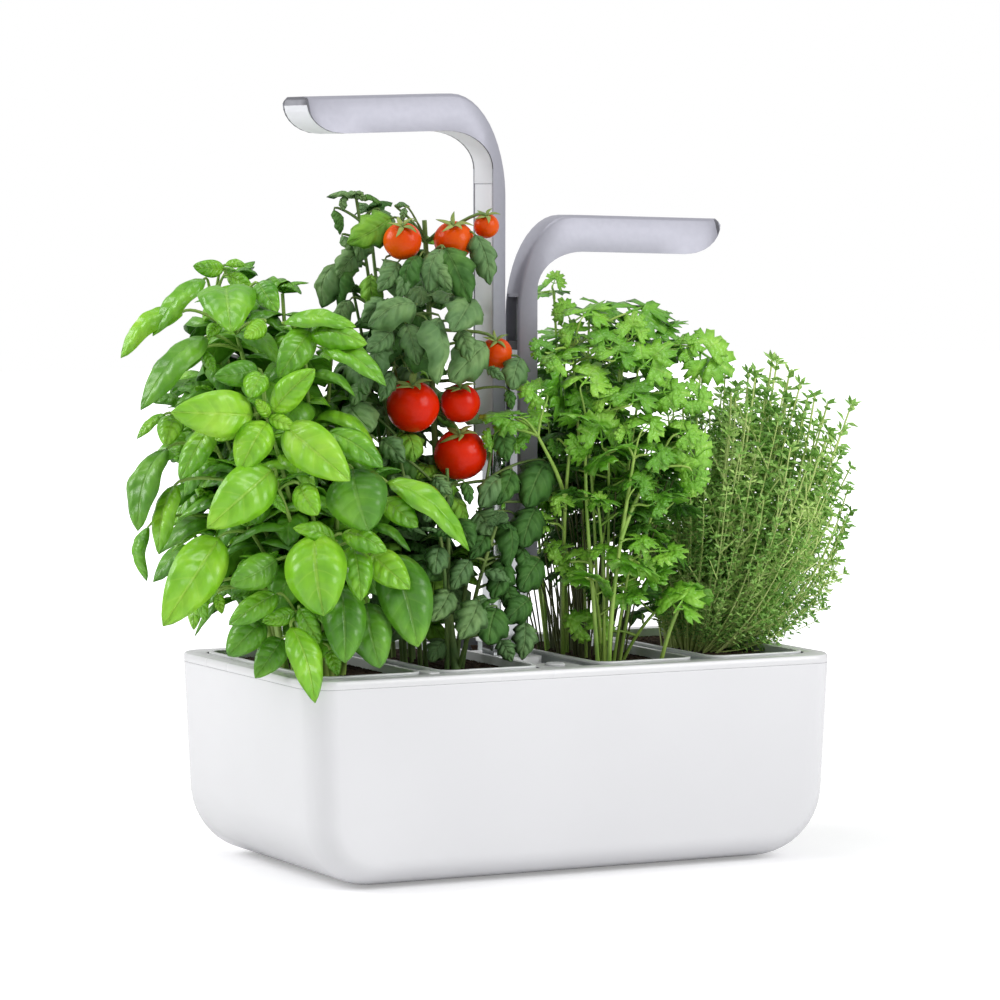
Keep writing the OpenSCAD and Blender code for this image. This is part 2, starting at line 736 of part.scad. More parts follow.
module heat_spreader() {
  in_head()
    translate([plate_start, 0, -shell_t - seat_gap])
      difference() {
        union() {
          translate([0, -plate_w / 2, -plate_t]) cube([plate_l, plate_w, plate_t]);
          for (sy = [-1, 0, 1])
            translate([0, sy * (plate_w / 2 - 1) - 0.75, -board_drop + shell_t + seat_gap])
              cube([plate_l, 1.5, board_drop - shell_t - seat_gap - plate_t + 0.5]);
          for (x = screw_at)
            translate([x, 0, -board_drop + shell_t + seat_gap]) cylinder(r = 3, h = board_drop - shell_t - seat_gap - 1);
        }
        for (x = screw_at) translate([x, 0, -board_drop - 1]) cylinder(r = 1.25, h = board_drop - shell_t - plate_t + 2);
      }
}

board_w = mast_in - 2 * shell_t - 3;

module light_board() {
  in_head()
    translate([plate_start, 0, -board_drop - board_t])
      difference() {
        translate([0, -board_w / 2, 0]) cube([plate_l, board_w, board_t]);
        for (x = screw_at) translate([x, 0, -1]) cylinder(r = 1.6, h = board_t + 2);
      }
}

chip_count = 7;

module light_chips() {
  in_head()
    for (i = [0 : chip_count - 1], sy = [-1, 1])
      translate([plate_start + plate_l * (i + 0.5) / chip_count - 1.75, sy * board_w / 4 - 1.75,
                 -board_drop - board_t - 1])
        cube([3.5, 3.5, 1]);
}

module board_screws() {
  in_head()
    for (x = screw_at)
      translate([plate_start + x, 0, -board_drop - board_t]) {
        translate([0, 0, -1.2]) cylinder(r = 2.4, h = 1.2);
        cylinder(r = 1.2, h = board_t + 6);
      }
}

ribbon_t = 0.25;
ribbon_w = 6;
ribbon_gap = 0.05;

module ribbon_lead() {
  // From the light board round the bend and down the mast cover to the guide shoe
  board_under = -board_drop - board_t;
  down = [for (q = concat(bend_path, [[[mast_gap + mast_t, shoe_bottom + shoe_h + 0.1], [-1, 0]]]))
    [q[0] + (cover_t + ribbon_gap) * q[1], q[1]]];
  start = [for (u = [bend_end_u + plate_start + 3, bend_end_u + plate_start - 1])
    [[u, board_under + fall(u) - ribbon_gap - ribbon_t], [0, 1]]];
  loft([for (q = concat(start, down))
    let (p = q[0], n = q[0] + ribbon_t * q[1], y = ribbon_w / 2)
    [[p[0], y, p[1]], [n[0], y, n[1]], [n[0], -y, n[1]], [p[0], -y, p[1]]]]);
}

module left() { translate([0, 0, left_top]) mirror([1, 0, 0]) children(); }
module right() { translate([0, 0, right_top]) children(); }

module left_arm_shell() { color([0.8, 0.8, 0.85]) left() arm_shell(); }
module left_diffuser() { color("white") left() diffuser(); }
module left_mast_cover() { color("whitesmoke") left() mast_cover(); }
module left_heat_spreader() { color("silver") left() heat_spreader(); }
module left_light_board() { color("whitesmoke") left() light_board(); }
module left_light_chips() { color("khaki") left() light_chips(); }
module left_board_screws() { color("silver") left() board_screws(); }
module left_guide_shoe() { color("dimgray") left() guide_shoe(); }
module left_friction_spring() { color("silver") left() friction_spring(); }
module left_ribbon_lead() { color("orange") left() ribbon_lead(); }
module right_arm_shell() { color([0.8, 0.8, 0.85]) right() arm_shell(); }
module right_diffuser() { color("white") right() diffuser(); }
module right_mast_cover() { color("whitesmoke") right() mast_cover(); }
module right_heat_spreader() { color("silver") right() heat_spreader(); }
module right_light_board() { color("whitesmoke") right() light_board(); }
module right_light_chips() { color("khaki") right() light_chips(); }
module right_board_screws() { color("silver") right() board_screws(); }
module right_guide_shoe() { color("dimgray") right() guide_shoe(); }
module right_friction_spring() { color("silver") right() friction_spring(); }
module right_ribbon_lead() { color("orange") right() ribbon_lead(); }

// ---------------------------------------------------------------- plants

golden = 137.508;

module hull_of(points) {
  hull() polyhedron(points, [for (i = [0 : len(points) - 3]) [i, i + 1, i + 2]]);
}

// Stretch of a stalk between two points
module stretch(p, q, r) {
  hull_of([for (e = [p, q], k = [[-r, -r], [r, -r], [0, r]]) e + [k[0], k[1], 0]]);
}

// Leaf whose foot swallows the end of its stalk: it runs along +X, with a raised rib
module leaf(l, w, t) {
  hull_of([[-t, -t, 0], [-t, t, 0], [0, 0, -t], [0.4 * l, -w / 2, 0.1 * w], [0.4 * l, w / 2, 0.1 * w],
           [0.4 * l, 0, -0.05 * w], [0.4 * l, 0, t], [l, 0, 0]]);
}

module leaf_at(p, heading, dip, l, w, t) {
  translate(p) rotate([0, 0, heading]) rotate([0, dip, 0]) leaf(l, w, t);
}

pad_h = 1.2;

// Mat of roots on the medium, which ties a plant's stalks together
module roots(w, l) {
  plate(w, l, 0.35 * w, pad_h);
}

// Stalks from the medium's middle to their tips, each with a pair of opposite leaves and some with one lower down.
// A tip is [x, y, height, heading of the leaves, how far they dip], from the middle of the medium
module stalks(tips, l, w, t, r, lower = 0) {
  for (k = [0 : len(tips) - 1])
    let (q = tips[k], foot = [0.28 * q[0], 0.6 * q[1], pad_h / 2], joint = [0.55 * q[0], 0.8 * q[1], 0.6 * q[2]],
         tip = [q[0], q[1], q[2]]) {
      stretch(foot, joint, r);
      stretch(joint, tip, r);
      leaf_at(tip, q[3], q[4], l, w, t);
      leaf_at(tip, q[3] + 180, q[4] - 5, 0.85 * l, 0.85 * w, t);
      if (lower > 0 && q[2] > 100)
        leaf_at(joint + lower * (tip - joint), q[3] + (k % 2 > 0 ? 80 : -75), 25, 0.95 * l, 0.95 * w, t);
    }
}

module in_tray(i) {
  translate([tray_x[i], 0, soil_top]) children();
}

// The outermost leaves end this far from the middle plane
spread = 222;

// Stalk of tray i whose leaf ends at the outermost place on its side; off is its foot's distance from the tray's middle
module outermost(i, off, y, h, l, w, t, r) {
  dip = 30;
  side = sign(tray_x[i]);
  foot_x = abs(tray_x[i]) + off;
  tip = [side * (spread - l * cos(dip)), y, soil_top + h];
  joint = [side * (foot_x + 0.4 * (abs(tip[0]) - foot_x)), y, soil_top + 0.62 * h];
  stretch([side * foot_x, y, soil_top + pad_h / 2], joint, r);
  stretch(joint, tip, r);
  leaf_at(tip, side < 0 ? 180 : 0, dip, l, w, t);
}

basil_tips = [
  [-55, -62, 145, 200, 15], [-55, -18, 195, 170, 20], [-18, -30, 182, 280, 25], [12, 0, 170, 260, 30],
  [-45, 30, 200, 120, 10], [-60, 0, 150, 185, 35], [-58, -36, 110, 205, 40], [-55, 18, 96, 170, 40],
  [-50, -68, 105, 230, 40], [-15, -64, 125, 280, 35], [8, -58, 104, 265, 30], [-30, -72, 66, 250, 35],
  [-52, -52, 62, 200, 35], [-36, -64, 34, 240, 20], [0, -62, 46, 270, 25], [-25, 42, 212, 80, 10],
  [-8, 20, 206, 110, 20], [-52, 52, 140, 150, 30], [-25, 66, 150, 100, 30], [8, 52, 116, 95, 30],
  [-46, 56, 72, 140, 30], [-10, 62, 58, 100, 25]];

module basil_plant() {
  color([0.3, 0.6, 0.15]) {
    in_tray(0) {
      roots(46, 104);
      stalks(basil_tips, 46, 34, 1.8, 1.3, 0.5);
    }
    outermost(0, 14, 8, 163.5, 42, 30, 1.8, 1.3);
  }
}

tomato_tips = [
  [-38, 12, 258, 120, 5], [-20, 34, 250, 60, 10], [-36, 20, 206, 200, 25], [4, 36, 214, 80, 20],
  [-30, -12, 188, 215, 35], [-22, 14, 160, 150, 30], [-34, -28, 130, 230, 30], [-14, -52, 112, 240, 30],
  [14, -56, 80, 290, 25], [14, -44, 104, 270, 30], [0, -62, 34, 250, 15], [12, 50, 150, 80, 25],
  [-18, 56, 176, 110, 20], [-24, 60, 100, 120, 30], [10, 62, 90, 70, 30], [-22, -60, 76, 230, 30]];

// Fruits and the vine that bears them, from the middle of the medium: [x, y, height, radius]
fruits = [[-24, -30, 144, 14.5], [5, -30, 145, 11], [5, -30, 117, 14.5], [27, -30, 172, 9],
          [-30, -30, 234, 10.5], [1, -30, 234, 11], [21, -30, 242, 7]];
vine = [[-2, -38, pad_h / 2], [-2, -11, 95], [-2, -9, 180], [-8, -12, 264]];
vine_r = 1.5;

// Point of the vine at a height
function on_vine(h) = let (k = h < vine[1][2] ? 0 : h < vine[2][2] ? 1 : 2, s = (h - vine[k][2]) / (vine[k + 1][2] - vine[k][2]))
  vine[k] + s * (vine[k + 1] - vine[k]);

module tomato_vine() {
  color([0.2, 0.42, 0.2])
    in_tray(1) {
      roots(40, 90);
      stalks(tomato_tips, 36, 25, 1.8, 1.4);
      for (k = [0 : 2]) stretch(vine[k], vine[k + 1], vine_r);
      // Fruit stalks, which end on the fruits
      for (f = fruits)
        let (middle = [f[0], f[1], f[2]], start = on_vine(min(f[2] + 40, vine[3][2] - 1)))
          stretch(start, middle + (f[3] + 0.9) * unit(start - middle), 0.8);
    }
}

module tomato_fruits() {
  color([0.85, 0.2, 0.08])
    in_tray(1) for (f = fruits) translate([f[0], f[1], f[2]]) sphere(f[3], $fn = 24);
}

parsley_tips = [
  [-28, -58, 136, 215, 20], [-22, -30, 176, 270, 25], [-6, 22, 205, 90, 10], [4, -2, 198, 200, 20],
  [30, 28, 192, 60, 20], [28, -4, 184, 330, 25], [10, -48, 146, 260, 25], [-16, -62, 118, 240, 30],
  [-26, -68, 94, 230, 30], [30, -42, 120, 300, 30], [-6, -70, 60, 260, 25], [-26, -62, 48, 220, 20],
  [24, -62, 38, 300, 10], [16, 50, 178, 80, 20], [-8, 60, 150, 110, 25], [28, 60, 122, 60, 30],
  [-24, 48, 138, 130, 25], [14, -22, 172, 300, 25], [-14, 20, 162, 150, 30], [12, -66, 92, 280, 30],
  [30, 30, 136, 20, 35], [0, 66, 84, 90, 30]];

module parsley_plant() {
  color([0.35, 0.65, 0.2])
    in_tray(2) {
      roots(42, 104);
      stalks(parsley_tips, 30, 30, 1.5, 1.1, 0.5);
    }
}

// Sprigs that fan out from an oval in the medium to an oval above it, the tallest in the middle
module dome(foot_r, crown, crown_r, low, high, count, l, w, t, r) {
  for (k = [0 : count - 1])
    let (s = (k + 0.5) / count, q = sqrt(s) * [cos(k * golden), sin(k * golden)], f = [foot_r[0] * q[0], foot_r[1] * q[1]],
         g = crown + [crown_r[0] * q[0], crown_r[1] * q[1]], top = low + (high - low) * sqrt(1 - s * s),
         m = f + 0.35 * (g - f), joint = [m[0], m[1], 0.5 * top], tip = [g[0], g[1], top],
         heading = atan2(q[1] * crown_r[1], q[0] * crown_r[0])) {
      stretch([f[0], f[1], pad_h / 2], joint, r);
      stretch(joint, tip, r);
      leaf_at(tip, heading, -25 + 70 * s, l, w, t);
      leaf_at(joint + 0.62 * (tip - joint), heading + (k % 2 > 0 ? 65 : -65), 5 + 20 * s, 0.9 * l, 0.9 * w, t);
      if (s > 0.3) leaf_at(joint, heading + 12, 20 + 15 * s, l, w, t);
    }
}

module thyme_plant() {
  color([0.45, 0.55, 0.3]) {
    in_tray(3) {
      roots(42, 104);
      dome([16, 48], [34, 0], [46, 56], 58, 160, 16, 28, 18, 1.5, 1);
    }
    outermost(3, 15, 6, 120.5, 26, 15, 1.5, 1);
  }
}

outer_casing();
water_tank();
rubber_feet();
deck_cover();
power_inlet();
inlet_lead();
electronics_pod();
pod_cover();
control_board();
tact_switch();
tower_base();
left_post();
right_post();
post_caps();
tower_screws();
basil_tray();
tomato_tray();
parsley_tray();
thyme_tray();
basil_soil();
tomato_soil();
parsley_soil();
thyme_soil();
basil_wicks();
tomato_wicks();
parsley_wicks();
thyme_wicks();
basil_plant();
tomato_vine();
tomato_fruits();
parsley_plant();
thyme_plant();
lamp_button();
filling_plug();
left_arm_shell();
left_diffuser();
left_mast_cover();
left_heat_spreader();
left_light_board();
left_light_chips();
left_board_screws();
left_guide_shoe();
left_friction_spring();
left_ribbon_lead();
right_arm_shell();
right_diffuser();
right_mast_cover();
right_heat_spreader();
right_light_board();
right_light_chips();
right_board_screws();
right_guide_shoe();
right_friction_spring();
right_ribbon_lead();
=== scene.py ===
# Countertop garden: a white tub with four trays of grown plants under two sliding lamp arms
import bpy
import math
import random
from mathutils import Matrix, Vector
from mathutils.bvhtree import BVHTree


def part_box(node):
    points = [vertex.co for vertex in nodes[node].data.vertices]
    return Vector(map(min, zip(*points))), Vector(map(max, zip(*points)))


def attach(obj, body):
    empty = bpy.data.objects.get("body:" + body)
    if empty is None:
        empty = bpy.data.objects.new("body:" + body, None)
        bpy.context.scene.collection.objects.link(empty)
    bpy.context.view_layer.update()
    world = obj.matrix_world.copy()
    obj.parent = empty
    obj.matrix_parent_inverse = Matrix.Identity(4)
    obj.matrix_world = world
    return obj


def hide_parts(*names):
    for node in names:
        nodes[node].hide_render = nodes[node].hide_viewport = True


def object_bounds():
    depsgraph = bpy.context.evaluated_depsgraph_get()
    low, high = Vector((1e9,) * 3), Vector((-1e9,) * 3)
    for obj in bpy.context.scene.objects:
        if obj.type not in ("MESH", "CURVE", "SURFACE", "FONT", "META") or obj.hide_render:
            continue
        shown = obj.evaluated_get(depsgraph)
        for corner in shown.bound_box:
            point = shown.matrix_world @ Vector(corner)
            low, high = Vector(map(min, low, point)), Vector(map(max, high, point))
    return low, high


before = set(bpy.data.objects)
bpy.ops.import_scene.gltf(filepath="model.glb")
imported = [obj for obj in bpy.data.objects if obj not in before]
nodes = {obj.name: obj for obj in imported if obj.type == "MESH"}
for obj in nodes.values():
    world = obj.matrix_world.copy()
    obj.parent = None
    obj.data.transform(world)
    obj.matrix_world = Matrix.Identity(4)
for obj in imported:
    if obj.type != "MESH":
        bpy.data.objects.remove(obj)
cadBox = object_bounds()
mm = 0.001
plants = ("basil", "tomato", "parsley", "thyme")
sides = ("left", "right")
goldenTurn = 137.5  # degrees from one leaf to the next round a stalk

# Camera: where it stands in metres, where it looks in degrees, and its lens.
# A pixel below is one of its 1000 by 1000 view
view = {"place": (-1.1611, -2.2742, 0.3822), "turn": 26.98, "pitch": 4.08,
        "lens": 164.917, "sensor": 36.0, "frame": 1000}
eye = Vector(view["place"])
turn, pitch = math.radians(view["turn"]), math.radians(view["pitch"])
ahead = Vector((math.sin(turn) * math.cos(pitch), math.cos(turn) * math.cos(pitch), -math.sin(pitch)))
sideways = ahead.cross(Vector((0, 0, 1))).normalized()
upwards = sideways.cross(ahead)


def sight(place):
    # Direction of the sight line through a pixel
    right, down = ((value - view["frame"] / 2) / view["frame"] for value in place[:2])
    return (ahead * view["lens"] / view["sensor"] + sideways * right - upwards * down).normalized()


def pixelAt(spot):
    # Width of a pixel at a place's distance
    return (spot - eye).length * view["sensor"] / view["lens"] / view["frame"]


# Shader maths: a socket that adds the nodes of an expression
class Flow:
    def __init__(self, finish, socket):
        self.finish = finish
        self.socket = socket

    def math(self, operation, first, second=0.0):
        return self.finish.add("ShaderNodeMath", {"operation": operation}, {0: first, 1: second})

    def __add__(self, other): return self.math("ADD", self, other)
    def __radd__(self, other): return self.math("ADD", other, self)
    def __sub__(self, other): return self.math("SUBTRACT", self, other)
    def __rsub__(self, other): return self.math("SUBTRACT", other, self)
    def __mul__(self, other): return self.math("MULTIPLY", self, other)
    def __abs__(self): return self.math("ABSOLUTE", self)
    def fraction(self): return self.math("FRACT", self)

    def between(self, low, high):  # 0 at low, 1 at high, eased and held outside
        return self.finish.add("ShaderNodeMapRange", {"interpolation_type": "SMOOTHSTEP"},
                               {0: self, 1: low, 2: high, 3: 0.0, 4: 1.0})


class Finish:
    def __init__(self, name):
        self.material = bpy.data.materials.new(name)
        self.material.use_nodes = True
        self.tree = self.material.node_tree
        self.surface = self.tree.nodes["Principled BSDF"]

    def add(self, kind, settings=None, values=None, output=0):
        node = self.tree.nodes.new(kind)
        for key, value in (settings or {}).items():
            if key == "stops":
                while len(node.color_ramp.elements) < len(value):
                    node.color_ramp.elements.new(0.5)
                for element, (place, colour) in zip(node.color_ramp.elements, value):
                    element.position, element.color = place, (*colour, 1)
            else:
                setattr(node, key, value)
        for key, value in (values or {}).items():
            self.feed(node.inputs[key], value)
        return Flow(self, node.outputs[output])

    def feed(self, socket, value):
        if isinstance(value, Flow):
            self.tree.links.new(value.socket, socket)
        elif isinstance(value, (tuple, list)) and socket.type == "RGBA":
            socket.default_value = (*value[:3], 1)
        else:
            socket.default_value = value

    def set(self, **values):
        for key, value in values.items():
            self.feed(self.surface.inputs[key.replace("_", " ")], value)
        return self

    def place(self):
        return self.add("ShaderNodeTexCoord", output="Object")

    def map(self, output):
        return self.add("ShaderNodeTexCoord", output=output)

    def noise(self, scale, detail=3.0, where=None, rough=0.5):
        return self.add("ShaderNodeTexNoise", {}, {"Vector": where or self.place(), "Scale": scale,
                                                   "Detail": detail, "Roughness": rough})

    def blend(self, share, first, second):
        return self.add("ShaderNodeMix", {"data_type": "RGBA"}, {0: share, 6: first, 7: second}, 2)

    def ramp(self, share, stops):
        return self.add("ShaderNodeValToRGB", {"stops": stops}, {0: share})

    def stretch(self, scale, where=None):
        return self.add("ShaderNodeMapping", {}, {"Vector": where or self.place(), "Scale": scale})

    def bump(self, height, strength, distance):
        return self.set(Normal=self.add("ShaderNodeBump", {},
                                        {"Strength": strength, "Distance": distance, "Height": height}))


# Finishes
def mouldedFinish(name, colour, shade, roughness, coat=0.0, texture=0.02):
    # Moulded plastic: a little cloudiness in the colour and gloss, and a faint skin
    finish = Finish(name)
    cloud = finish.noise(9.0, 2.0)
    skin = finish.noise(900.0, 2.0)
    finish.set(Base_Color=finish.blend(cloud.between(0.3, 0.7), colour, shade),
               Roughness=cloud * 0.06 + (roughness - 0.03), Coat_Weight=coat, Coat_Roughness=0.06)
    finish.bump(skin, texture, 0.0002)
    return finish.material


def satinMetalFinish(name, colour, shade, roughness, metal=1.0, grain=(900.0, 900.0, 40.0)):
    finish = Finish(name)
    streak = finish.noise(1.0, 4.0, finish.stretch(grain))
    cloud = finish.noise(14.0, 2.0)
    finish.set(Base_Color=finish.blend(streak.between(0.3, 0.7), colour, shade), Metallic=metal,
               Roughness=cloud * 0.08 + streak * 0.06 + (roughness - 0.07))
    finish.bump(streak, 0.05, 0.0001)
    return finish.material


def soilFinish():
    finish = Finish("growingMedium")
    lump = finish.noise(260.0, 6.0, rough=0.7)
    fibre = finish.noise(60.0, 3.0)
    finish.set(Base_Color=finish.ramp(lump * 0.7 + fibre * 0.3,
                                      [(0.3, (0.012, 0.008, 0.006)), (0.52, (0.045, 0.028, 0.018)),
                                       (0.72, (0.13, 0.085, 0.055))]),
               Roughness=0.95, Specular_IOR_Level=0.2)
    finish.bump(lump, 0.9, 0.002)
    return finish.material


def leafFinish(name, look):
    # Blade with a pale midrib and side veins, drawn along the leaf's own map: x along, y across
    finish = Finish(name)
    along = finish.add("ShaderNodeSeparateXYZ", {}, {0: finish.map("UV")})
    across = Flow(finish, along.socket.node.outputs[1])
    fromRib = abs(across - 0.5) * 2.0
    rib = 1.0 - fromRib.between(0.02, 0.09)
    swept = along * look["veins"] - fromRib * look["sweep"] * (1.0 - fromRib * 0.25)
    fromVein = abs(swept.fraction() - 0.5)
    sideVein = (1.0 - fromVein.between(0.015, 0.07)) * (1.0 - fromRib.between(0.55, 0.95))
    vein = rib * 0.9 + sideVein * 0.4
    quilt = fromVein.between(0.0, 0.42) * (1.0 - fromRib.between(0.8, 1.0))
    mottle = finish.noise(look["mottleScale"], 3.0)
    fine = finish.noise(420.0, 3.0)
    patch = finish.noise(26.0, 1.0)
    tone = finish.ramp(mottle * 0.5 + patch * 0.5, list(zip(look["stops"], look["tones"])))
    finish.set(Base_Color=finish.blend(vein * look["veinShare"], tone, look["veinColour"]),
               Roughness=fine * 0.12 + (look["roughness"] - 0.06),
               Specular_IOR_Level=look["gloss"], Subsurface_Weight=0.0)
    finish.bump(fine * 0.2 + quilt * 0.9 - rib * 0.6, look["relief"], 0.0009)
    return finish.material


def stalkFinish(name, tones, roughness=0.5):
    finish = Finish(name)
    cloud = finish.noise(40.0, 2.0)
    hair = finish.noise(1.0, 3.0, finish.stretch((1500.0, 1500.0, 120.0)))
    finish.set(Base_Color=finish.ramp(cloud * 0.7 + hair * 0.3, tones),
               Roughness=hair * 0.1 + (roughness - 0.05))
    finish.bump(hair, 0.1, 0.0002)
    return finish.material


def fruitFinish(name, tones):
    finish = Finish(name)
    cloud = finish.noise(30.0, 2.0)
    fleck = finish.noise(700.0, 1.0)
    finish.set(Base_Color=finish.ramp(cloud * 0.85 + fleck * 0.15, tones),
               Roughness=fleck * 0.06 + 0.2, Specular_IOR_Level=0.2)
    finish.bump(cloud, 0.05, 0.0005)
    return finish.material


mouldedLooks = {
    # colour, its cloudy shade, roughness, clear coat, skin
    "tubWhite": ((0.8, 0.8, 0.82), (0.78, 0.78, 0.8), 0.24, 0.35, 0.01),
    "deckWhite": ((0.8, 0.8, 0.815), (0.77, 0.77, 0.785), 0.28, 0.25, 0.01),
    "trayClear": ((0.62, 0.66, 0.66), (0.56, 0.6, 0.6), 0.22, 0.4, 0.02),
    "trayRim": ((0.82, 0.84, 0.84), (0.78, 0.8, 0.8), 0.2, 0.4, 0.02),
    "tankGrey": ((0.5, 0.52, 0.54), (0.46, 0.48, 0.5), 0.45, 0.0, 0.02),
    "milkyWhite": ((0.82, 0.82, 0.87), (0.79, 0.79, 0.84), 0.36, 0.0, 0.02),
    # The arms' silver made darker for the lip at their tips: painted shade
    "lipGrey": ((0.34, 0.34, 0.38), (0.31, 0.31, 0.35), 0.45, 0.0, 0.02),
    # Dark grey for the arm and lid seams: painted shade of the narrow gaps there
    "seamGrey": ((0.13, 0.13, 0.15), (0.11, 0.11, 0.13), 0.5, 0.0, 0.02),
    "guideGrey": ((0.06, 0.06, 0.065), (0.05, 0.05, 0.052), 0.55, 0.0, 0.02),
    "inletBlack": ((0.015, 0.015, 0.016), (0.02, 0.02, 0.02), 0.5, 0.0, 0.02),
    "footRubber": ((0.03, 0.03, 0.032), (0.024, 0.024, 0.026), 0.8, 0.0, 0.2),
    "buttonSatin": ((0.72, 0.72, 0.74), (0.68, 0.68, 0.7), 0.4, 0.0, 0.02),
    "podGrey": ((0.66, 0.66, 0.67), (0.6, 0.6, 0.61), 0.55, 0.0, 0.02),
    "boardGreen": ((0.02, 0.12, 0.04), (0.015, 0.1, 0.03), 0.35, 0.0, 0.02),
    "boardWhite": ((0.8, 0.8, 0.78), (0.76, 0.76, 0.74), 0.4, 0.0, 0.02),
    "chipYellow": ((0.75, 0.6, 0.12), (0.7, 0.55, 0.1), 0.3, 0.0, 0.02),
    "ribbonPale": ((0.62, 0.62, 0.64), (0.55, 0.55, 0.57), 0.4, 0.0, 0.02),
    "wickFelt": ((0.72, 0.72, 0.7), (0.62, 0.62, 0.6), 0.95, 0.0, 0.6),
}
metalLooks = {
    # colour, its streaks' shade, roughness, metal, grain
    "armSilver": ((0.41, 0.41, 0.47), (0.395, 0.395, 0.455), 0.46, 0.35, (300.0, 300.0, 300.0)),
    "postPolish": ((0.55, 0.57, 0.58), (0.48, 0.5, 0.51), 0.14, 1.0, (900.0, 900.0, 40.0)),
    "steelBright": ((0.6, 0.6, 0.62), (0.52, 0.52, 0.54), 0.3, 1.0, (900.0, 900.0, 40.0)),
    "bareAluminium": ((0.72, 0.73, 0.74), (0.65, 0.66, 0.67), 0.38, 1.0, (900.0, 900.0, 40.0)),
}
leafKinds = {
    "basil": {"veins": 5.0, "sweep": 1.2, "mottleScale": 60.0, "stops": (0.3, 0.5, 0.72)},
    "tomato": {"veins": 4.0, "sweep": 1.3, "mottleScale": 90.0, "stops": (0.3, 0.5, 0.75)},
    "parsley": {"veins": 3.0, "sweep": 1.0, "mottleScale": 70.0, "stops": (0.3, 0.5, 0.74)},
}
leafKeys = ("kind", "tones", "veinColour", "veinShare", "roughness", "gloss", "relief")
leafLooks = {
    # in the order of leafKeys, with the tones from dark to bright
    # Basil's paler and darker copies: partly leaf-to-leaf colour, partly painted light on lit leaves and
    # painted shade on leaves in shadow
    "basilLight": ("basil", ((0.135, 0.42, 0.011), (0.24, 0.594, 0.02), (0.435, 0.797, 0.056)),
                   (0.69, 0.9, 0.168), 0.24, 0.32, 0.6, 0.7),
    "basilLeaf": ("basil", ((0.076, 0.297, 0.01), (0.17, 0.478, 0.016), (0.34, 0.709, 0.035)),
                  (0.578, 0.9, 0.16), 0.24, 0.3, 0.65, 0.7),
    "basilDeep": ("basil", ((0.04, 0.17, 0.01), (0.099, 0.315, 0.016), (0.216, 0.527, 0.032)),
                  (0.36, 0.646, 0.128), 0.24, 0.34, 0.55, 0.6),
    # tomatoLeaf is the darkest tomato tone, used mostly for the fill inside the plant and the lower leaves:
    # partly leaf colour, partly painted shade
    "tomatoLeaf": ("tomato", ((0.031, 0.099, 0.02), (0.061, 0.176, 0.031), (0.128, 0.288, 0.049)),
                   (0.221, 0.384, 0.112), 0.3, 0.62, 0.25, 1.0),
    "tomatoHazy": ("tomato", ((0.072, 0.173, 0.056), (0.136, 0.27, 0.091), (0.256, 0.42, 0.14)),
                   (0.32, 0.495, 0.196), 0.3, 0.6, 0.35, 1.0),
    "tomatoFresh": ("tomato", ((0.08, 0.24, 0.017), (0.16, 0.39, 0.028), (0.32, 0.6, 0.056)),
                    (0.32, 0.57, 0.112), 0.3, 0.55, 0.3, 1.0),
    # Parsley's paler and darker copies: partly leaf-to-leaf colour, partly painted light on lit leaves and
    # painted shade on leaves in shadow
    "parsleyLight": ("parsley", ((0.135, 0.42, 0.022), (0.225, 0.566, 0.038), (0.42, 0.783, 0.09)),
                     (0.63, 0.899, 0.21), 0.3, 0.34, 0.6, 0.5),
    "parsleyLeaf": ("parsley", ((0.06, 0.231, 0.01), (0.128, 0.396, 0.019), (0.255, 0.594, 0.04)),
                    (0.425, 0.742, 0.144), 0.3, 0.34, 0.6, 0.5),
    "parsleyDeep": ("parsley", ((0.019, 0.099, 0.007), (0.048, 0.18, 0.01), (0.114, 0.324, 0.02)),
                    (0.228, 0.468, 0.085), 0.3, 0.45, 0.4, 0.5),
}
stalkLooks = {
    # tones along the ramp, roughness
    "thymeLeaf": ([(0.3, (0.09, 0.24, 0.032)), (0.5, (0.27, 0.54, 0.1)), (0.75, (0.76, 0.92, 0.32))],
                  0.5),
    "basilStalk": ([(0.3, (0.168, 0.338, 0.039)), (0.7, (0.42, 0.585, 0.13))], 0.5),
    "tomatoStalk": ([(0.3, (0.07, 0.156, 0.033)), (0.7, (0.224, 0.325, 0.078))], 0.65),
    "parsleyStalk": ([(0.3, (0.182, 0.378, 0.039)), (0.7, (0.504, 0.702, 0.156))], 0.4),
    # Dark stalks low in the parsley: partly stalk colour, partly painted shade
    "dryStalk": ([(0.3, (0.04, 0.06, 0.015)), (0.7, (0.16, 0.17, 0.05))], 0.6),
    "thymeStalk": ([(0.3, (0.46, 0.62, 0.15)), (0.7, (0.76, 0.88, 0.36))], 0.6),
    "calyx": ([(0.3, (0.12, 0.22, 0.03)), (0.7, (0.4, 0.46, 0.12))], 0.6),
}
fruitLooks = {
    "fruitRed": [(0.35, (0.68, 0.01, 0.001)), (0.6, (0.82, 0.026, 0.001)), (0.75, (0.88, 0.05, 0.001))],
    "fruitOrange": [(0.35, (0.74, 0.05, 0.001)), (0.6, (0.8, 0.1, 0.002)), (0.75, (0.85, 0.19, 0.006))],
}
finishes = {"soil": soilFinish()}
for make, looks in ((mouldedFinish, mouldedLooks), (satinMetalFinish, metalLooks), (stalkFinish, stalkLooks)):
    for name, look in looks.items():
        finishes[name] = make(name, *look)
for name, tones in fruitLooks.items():
    finishes[name] = fruitFinish(name, tones)
for name, values in leafLooks.items():
    look = dict(zip(leafKeys, values))
    finishes[name] = leafFinish(name, {**leafKinds[look["kind"]], **look})
print("finishes made")


# Helpers
def activate(*objects):
    bpy.ops.object.select_all(action="DESELECT")
    for each in objects:
        each.select_set(True)
    bpy.context.view_layer.objects.active = objects[0]


def paint(piece, finish):
    piece.data.materials.clear()
    piece.data.materials.append(finishes[finish])


def applyAll(piece):
    activate(piece)
    for modifier in list(piece.modifiers):
        bpy.ops.object.modifier_apply(modifier=modifier.name)


